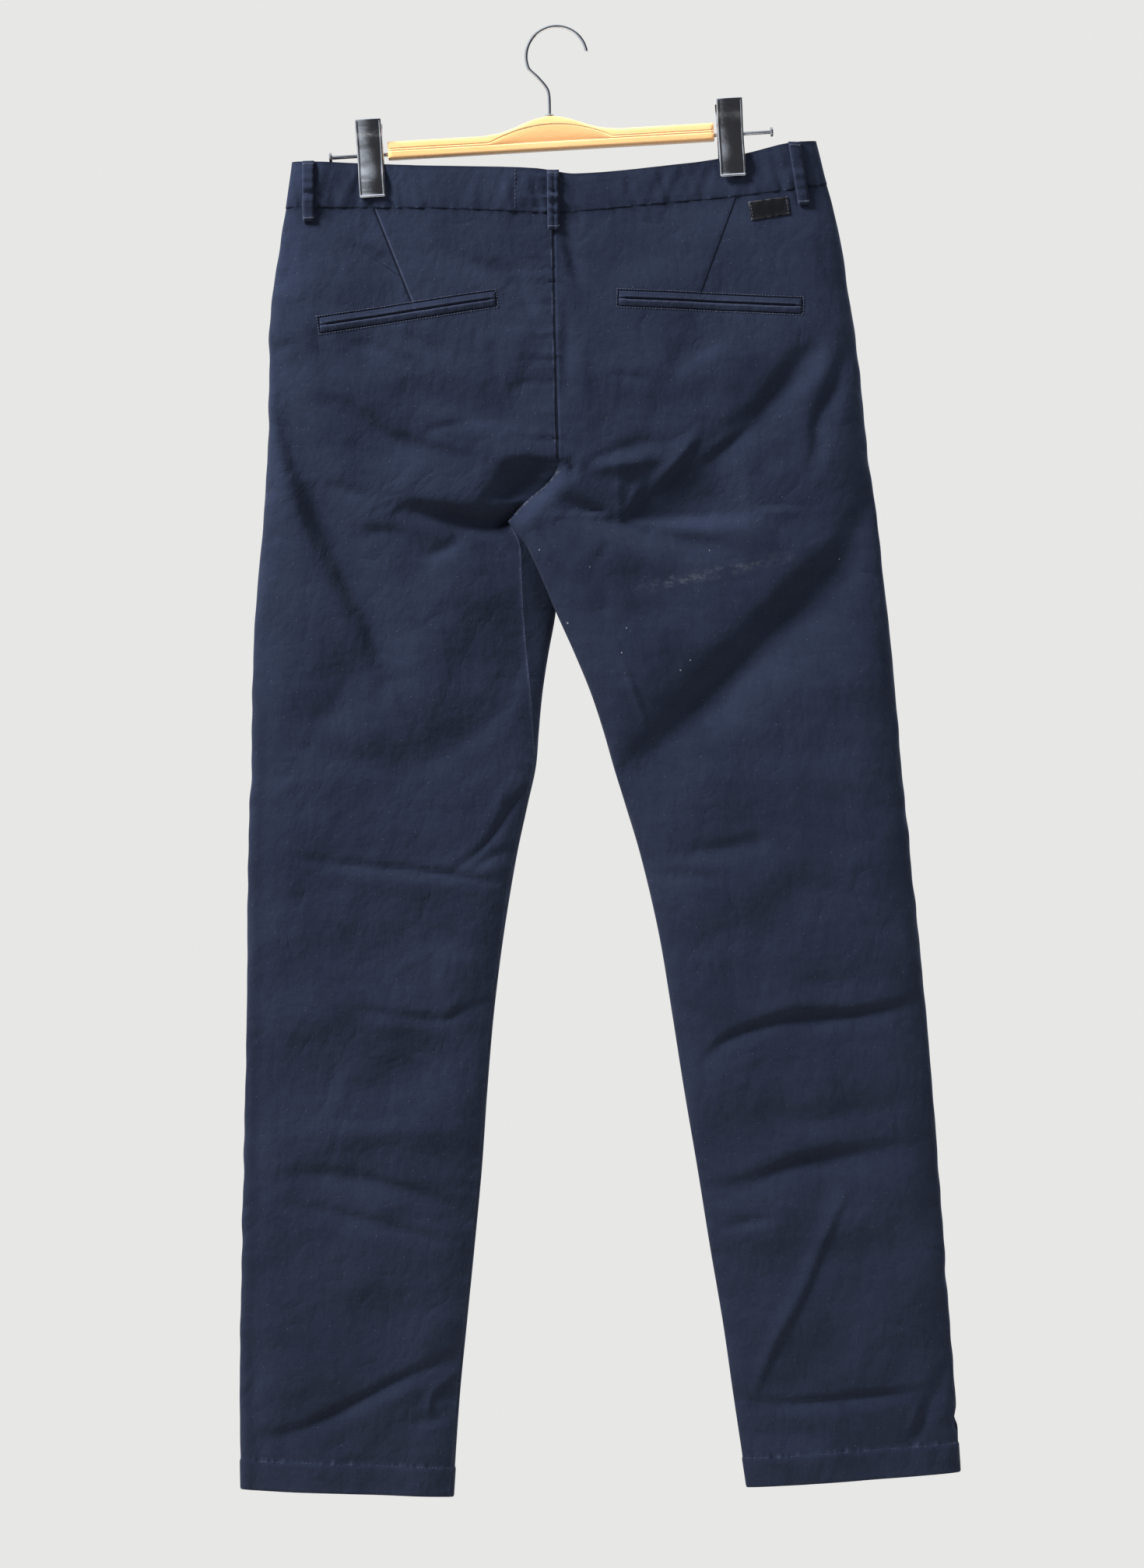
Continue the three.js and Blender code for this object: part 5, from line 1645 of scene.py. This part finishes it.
def hook_path():
    """Hook wire: straight shank, neck, then most of a circle."""
    centre_z = WIRE_RADIUS - HOOK_RADIUS
    start, end, steps = math.radians(203), math.radians(12), 40
    arc = [(HOOK_RADIUS * math.cos(a), centre_z + HOOK_RADIUS * math.sin(a))
           for a in np.linspace(start, end, steps)]
    shank = [(-5.6, -71.3), (-5.7, -62), (-6.3, -53.5), (-8.4, -48), (-15, -40.2)]
    neck = smooth_path([*shank, arc[0], arc[3]], 8)[:len(shank) * 8]
    path = np.vstack([neck, arc])
    return np.stack([path[:, 0], np.zeros(len(path)), path[:, 1]], axis=-1)


def bar_sections():
    """Cross-sections of the bar from end to end, with its grooves and inlaid lens."""
    stations = np.concatenate([[-BAR_HALF, -BAR_HALF + 0.5, -BAR_HALF + 1.4],
                               np.linspace(-BAR_HALF + 3, BAR_HALF - 3, 180),
                               [BAR_HALF - 1.4, BAR_HALF - 0.5, BAR_HALF]])
    rings, shades = [], []
    for x in stations:
        bell = 0.5 + 0.5 * math.cos(math.pi * min(abs(x) / HUMP_HALF, 1))
        height = BAR_END + 0.8 * smooth((HUMP_HALF + 4 - abs(x)) / 6) + (HUMP_TOP - BAR_END - 0.8) * bell
        end = min(1.0, 0.72 + 0.28 * math.sqrt(max(0.0, 1 - (1 - min(BAR_HALF - abs(x), 3) / 3) ** 2)))
        half_thick = BAR_THICK / 2 * end
        middle = BAR_END * 0.5
        open_lens = 1 - min(abs(x) / HUMP_HALF, 1) ** 2
        upper = middle + 1.0 + 12.2 * open_lens
        lower = middle - 0.7
        edge = 2.4
        heights = [0.0, 0.4, edge * 0.6, edge, lower - 0.8, lower, lower + 0.8, (lower + upper) / 2,
                   upper - 0.8, upper, upper + 0.8, height - edge, height - edge * 0.6, height - 0.4, height]
        face, shade = [], []
        for h in heights:
            near = min(h, height - h)
            out = half_thick - edge * (1 - math.sqrt(max(0.0, 1 - (1 - min(near, edge) / edge) ** 2)))
            groove = 0.0
            if abs(h - lower) < 0.1 or abs(h - upper) < 0.1:
                groove = 1.0
            inside = lower + 0.5 < h < upper - 0.5
            face.append(out - 0.7 * groove - 0.45 * open_lens * inside)
            # Negative shade paints a highlight along the grooves; positive shade darkens the inside of the
            # lens
            shade.append(-0.45 * groove + 0.42 * inside * min(1.0, open_lens * 3))
        ring = [(x, -y, h) for y, h in zip(face, heights)] + [(x, y, h) for y, h in zip(face, heights)][::-1]
        rings.append(ring)
        shades.append(shade + shade[::-1])
    return np.array(rings), np.array(shades)


class HangerBar(bpy.types.Operator):
    """Beech bar with its hump, grooves and inlaid lens"""
    bl_idname = "trousers.hanger_bar"
    bl_label = "Hanger bar"

    def execute(self, context):
        rings, shades = bar_sections()
        count, sides = rings.shape[:2]
        points = rings.reshape(-1, 3)
        faces = []
        for i in range(count - 1):
            for k in range(sides):
                n = (k + 1) % sides
                faces.append((i * sides + k, i * sides + n, (i + 1) * sides + n, (i + 1) * sides + k))
        shade = list(shades.ravel())
        for ring, start in ((rings[0], 0), (rings[-1], (count - 1) * sides)):
            points = np.vstack([points, ring.mean(0)[None, :]])
            shade.append(0.0)
            centre = len(points) - 1
            faces.extend((start + k, start + (k + 1) % sides, centre) for k in range(sides))
        piece = mesh_piece("hanger_bar_beech", hung(points), faces, 40)
        recalculate(piece)
        attribute = piece.data.attributes.new("shade", "FLOAT", "POINT")
        attribute.data.foreach_set("value", np.array(shade, np.float32))
        finish_piece(piece, material("wood"), "beech", "hanger_bar")
        return {"FINISHED"}


class HangerHook(bpy.types.Operator):
    """Bent wire hook with its collar"""
    bl_idname = "trousers.hanger_hook"
    bl_label = "Hanger hook"

    def execute(self, context):
        points, faces = tube(hook_path(), WIRE_RADIUS)
        hook = mesh_piece("hook_wire", points, faces)
        recalculate(hook)
        finish_piece(hook, material("chrome"), "chrome", "hanger_hook")
        bore = WIRE_RADIUS + 0.15
        profile = [(bore, 0), (3.7, 0), (4, 0.3), (4, 1.0), (3.6, 1.5), (2.9, 1.9), (2.4, 2.2), (bore, 2.2)]
        ring = turned_ring(profile, 48) + (0, 0, HUMP_TOP + 0.1)
        collar = mesh_piece("hook_collar_ring", hung(ring.reshape(-1, 3)), ring_faces(48, len(profile)), 50)
        recalculate(collar)
        finish_piece(collar, material("chrome"), "chrome", "hook_collar")
        return {"FINISHED"}


def turned_ring(profile, sides):
    """Points of a turned ring round Z, sides by profile."""
    angle = np.linspace(0, 2 * np.pi, sides, endpoint=False)[:, None]
    r = np.array([p[0] for p in profile])[None, :]
    h = np.array([p[1] for p in profile])[None, :]
    return np.stack(np.broadcast_arrays(r * np.cos(angle), r * np.sin(angle), h), axis=-1)


def ring_faces(sides, count):
    faces = []
    for i in range(sides):
        for k in range(count):
            a, b = i * count + k, i * count + (k + 1) % count
            c, d = ((i + 1) % sides) * count + (k + 1) % count, ((i + 1) % sides) * count + k
            faces.append((a, b, c, d))
    return faces


class Clips(bpy.types.Operator):
    """Rod ends, coiled springs and plated clip leaves"""
    bl_idname = "trousers.clips"
    bl_label = "Clips and rod"

    def execute(self, context):
        for half in ("left", "right"):
            outward = OUTWARD[half]
            self.rod(half, outward)
            self.spring(half)
            for name, face in (("back", BACK), ("front", FRONT)):
                self.leaf(half, name, face)
        return {"FINISHED"}

    def rod(self, half, outward):
        start, neck, tip = BAR_HALF + 0.1, ROD_TIP - HEAD_THICK, ROD_TIP
        r, head = ROD_RADIUS, HEAD_RADIUS
        profile = [(0, start), (r * 0.9, start), (r, start + 0.3), (r, neck - 0.4), (r + 0.5, neck),
                   (head - 0.4, neck), (head, neck + 0.4), (head, tip - 0.7), (head - 0.5, tip - 0.15),
                   (head - 1.2, tip), (0, tip)]
        points, faces = lathe(profile, 32, (1, 1))
        points = np.stack([outward * points[:, 2], points[:, 0], points[:, 1] + ROD_HEIGHT], axis=-1)
        piece = mesh_piece(f"rod_{half}", hung(points), faces, 50)
        recalculate(piece)
        finish_piece(piece, material("steel"), "steel_rod", f"rod_end_{half}")

    def spring(self, half):
        piece = chains(f"spring_{half}", [[(0, 0, 0), (0, 0, 1)]])
        wire, width = 0.85, 14.5
        run_tree(piece, coil_tree, Turns=7.0, Radius=(SPRING_RADIUS - wire) * MM, Width=width * MM,
                 Wire=wire * MM, Material=material("steel"))
        points = np.array([v.co for v in piece.data.vertices]) / MM
        points = points[:, [2, 0, 1]] + (CLIP_AT[half] - width / 2, 0, ROD_HEIGHT)
        piece.data.vertices.foreach_set("co", (hung(points) * MM).ravel())
        recalculate(piece)
        finish_piece(piece, material("steel"), "steel_rod", f"clip_spring_{half}")

    def leaf(self, half, name, face):
        r = SPRING_RADIUS + 0.3
        profile = [(CLIP_TOP, 13), (CLIP_TOP - 6, 11.8), (ROD_HEIGHT + 7, r + 0.4), (ROD_HEIGHT, r),
                   (ROD_HEIGHT - 8, r + 0.6), (-16, 9.2), (-22, 8.6), (CLIP_FOOT + 3, 7.2), (CLIP_FOOT, 8.4)]
        rim = [0, 0.25, 0.5, 0.8, 1.2, 1.6, 2.1]
        length = CLIP_TOP - CLIP_FOOT
        half_width = CLIP_WIDTH / 2

        def rows(total, count):
            return np.array([*rim, *np.linspace(3, total - 3, count), *(total - r for r in rim[::-1])])

        z = CLIP_TOP - rows(length, 50)[:, None]
        u = rows(CLIP_WIDTH, 18)[None, :] / half_width - 1
        end = np.minimum(CLIP_TOP - z, z - CLIP_FOOT)
        corner = 1.1
        x = CLIP_AT[half] + (half_width - corner * (1 - round_in(end, corner))) * u
        y = read(profile, z) - 0.45 * u ** 2
        inward = np.minimum(half_width * (1 - np.abs(u)), end)
        lip = 0.35 * (1 - round_in(inward, 0.7)) - 0.22 * np.exp(-(((inward - 1.0) / 0.5) ** 2))
        outer = np.stack(np.broadcast_arrays(x, face * (y + CLIP_SHEET - lip), z), axis=-1)
        inner = np.stack(np.broadcast_arrays(x, face * y, z), axis=-1)
        points, faces, _ = closed_shell(outer, inner)
        piece = mesh_piece(f"clip_leaf_{name}_{half}", hung(points), faces, 40)
        finish_piece(piece, material("chrome"), "chrome", f"clip_{name}_leaf_{half}")


class Stage(bpy.types.Operator):
    """Pale floor, soft lights and the camera of the photograph"""
    bl_idname = "trousers.stage"
    bl_label = "Stage"

    def execute(self, context):
        self.floor()
        self.light("Key light", (-2.0, -1.05, 1.6), 0.8, settings().key_light)
        self.light("Top light", (1.6, -1.5, 0.4), 1.0, settings().top_light)
        self.light("Fill light", (2.6, -3.2, 0.2), 2.6, settings().fill_light)
        self.light("Back light", (2.4, 1.3, 1.5), 1.0, settings().key_light * 0.5)
        self.world()
        self.camera()
        return {"FINISHED"}

    def floor(self):
        side, near, far, z = 1.7, -1.5, 0.3, -1.335
        corners = [(-side, near, z), (side, near, z), (side, far, z), (-side, far, z)]
        mesh = bpy.data.meshes.new("floor")
        mesh.from_pydata(corners, [], [(0, 1, 2, 3)])
        floor = link("floor", mesh)
        mesh.materials.append(material("floor"))

    def light(self, name, place, size, power):
        data = bpy.data.lights.new(name, "AREA")
        data.shape, data.size, data.energy = "SQUARE", size, power
        lamp = bpy.data.objects.new(name, data)
        lamp.location = place
        lamp.visible_glossy = False
        aim = Vector((0.0, 0.0, VIEW_CENTRE[1] * MM)) - lamp.location
        lamp.rotation_euler = aim.to_track_quat("-Z", "Y").to_euler()
        bpy.context.scene.collection.objects.link(lamp)

    def world(self):
        """A pale wall for the camera, and for all other rays a room that is dim in front of the cloth."""
        world = bpy.data.worlds.new("Pale room")
        s = Shader(world)
        way = s.add("ShaderNodeTexCoord").outputs["Generated"]
        x, y, z = s.parts(way)
        rays, mixed = s.add("ShaderNodeLightPath"), s.add("ShaderNodeMixShader")
        blotches = s.step(s.noise(way, 2.2, 3, 0.6), 0.38, 0.62)
        glossy = Number(s, rays.outputs["Is Glossy Ray"])
        window = (1 - s.step(x, -0.22, 0.02)) * (0.4 + blotches * 0.6) * glossy
        shown = s.mix((0.04, 0.04, 0.045, 1.0), (0.80, 0.86, 0.95, 1.0), window)
        shown = s.mix(shown, (0.80, 0.86, 0.95, 1.0), s.step(z, 0.72, 0.9) * glossy)
        shown = s.mix(shown, colour(settings().room), s.step(y, -0.3, 0.6))
        room = s.add("ShaderNodeBackground", None, Color=shown, Strength=settings().room_light)
        wall = s.add("ShaderNodeBackground", None, Color=colour(settings().room))
        shares = (rays.outputs["Is Camera Ray"], room.outputs[0], wall.outputs[0])
        for socket, value in zip(mixed.inputs, shares):
            s.feed(socket, value)
        s.feed(s.add("ShaderNodeOutputWorld").inputs["Surface"], mixed.outputs[0])
        bpy.context.scene.world = world
        bpy.context.scene.view_settings.view_transform = "Standard"

    def camera(self):
        data = bpy.data.cameras.new("Camera")
        data.sensor_fit, data.sensor_width = "AUTO", SENSOR
        data.lens = SENSOR * CAMERA_DISTANCE / VIEW_HEIGHT
        camera = bpy.data.objects.new("Camera", data)
        camera.location = (VIEW_CENTRE[0] * MM, -CAMERA_DISTANCE * MM, VIEW_CENTRE[1] * MM)
        camera.rotation_euler = (math.pi / 2, 0, 0)
        bpy.context.scene.collection.objects.link(camera)
        bpy.context.scene.camera = camera


def tint(name, description, default):
    return bpy.props.FloatVectorProperty(name=name, description=description, default=default,
                                         size=3, subtype="COLOR", min=0, max=1)


def amount(name, description, default, subtype="NONE"):
    return bpy.props.FloatProperty(name=name, description=description, default=default, min=0,
                                   subtype=subtype)


class TrousersSettings(bpy.types.PropertyGroup):
    """Sizes and colours that a user would change"""
    cloth_thickness: bpy.props.FloatProperty(
        name="Cloth thickness", description="Thickness of the leg panels' cloth", default=0.0011,
        min=0.0004, max=0.0018, unit="LENGTH", precision=4)
    fold_strength: amount("Folds", "Share of the photographed folds' height", 1.35)
    pucker_strength: amount("Puckers", "Share of the seam puckers' height", 1.0)
    cloth_dark: tint("Cloth, dark", "Deepest dye of the twill", (0.0072, 0.0100, 0.0208))
    cloth_light: tint("Cloth, light", "Palest dye of the twill", (0.0192, 0.0258, 0.0480))
    # Colour of the twill's rubbed edges and of its painted highlights
    cloth_worn_and_lit: tint("Cloth, worn", "Rubbed edges of the twill", (0.048, 0.058, 0.098))
    thread: tint("Thread", "Sewing thread", (0.030, 0.037, 0.066))
    wood_light: tint("Wood, light", "Pale grain of the bar", (0.90, 0.54, 0.26))
    wood_dark: tint("Wood, dark", "Dark grain of the bar", (0.80, 0.42, 0.165))
    room: tint("Room", "Pale surroundings", (0.80, 0.80, 0.79))
    room_light: amount("Room light", "Strength of the surroundings", 1.0)
    key_light: amount("Key light", "Power of the key light", 300.0, "POWER")
    top_light: amount("Top light", "Power of the top light", 24.0, "POWER")
    fill_light: amount("Fill light", "Power of the fill light", 8.0, "POWER")


STEPS = (BackPanels, FrontPanels, Waistband, BeltLoops, BackPockets, FrontTrim, Patch,
         HangerBar, HangerHook, Clips, Stage)


class TrousersPanel(bpy.types.Panel):
    """Lists the settings and the pieces"""
    bl_idname = "VIEW3D_PT_trousers"
    bl_label = "Trousers"
    bl_space_type = "VIEW_3D"
    bl_region_type = "UI"
    bl_category = "Trousers"

    def draw(self, context):
        for name in TrousersSettings.__annotations__:
            self.layout.prop(context.scene.trousers, name)
        for step in STEPS:
            self.layout.operator(step.bl_idname)


def register():
    for item in (TrousersSettings, *STEPS, TrousersPanel):
        bpy.utils.register_class(item)
    bpy.types.Scene.trousers = bpy.props.PointerProperty(type=TrousersSettings)


def unregister():
    del bpy.types.Scene.trousers
    for item in reversed((TrousersSettings, *STEPS, TrousersPanel)):
        bpy.utils.unregister_class(item)


def main():
    register()
    for step in STEPS:
        group, name = step.bl_idname.split(".")
        getattr(getattr(bpy.ops, group), name)()
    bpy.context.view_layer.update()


if __name__ == "__main__":
    main()
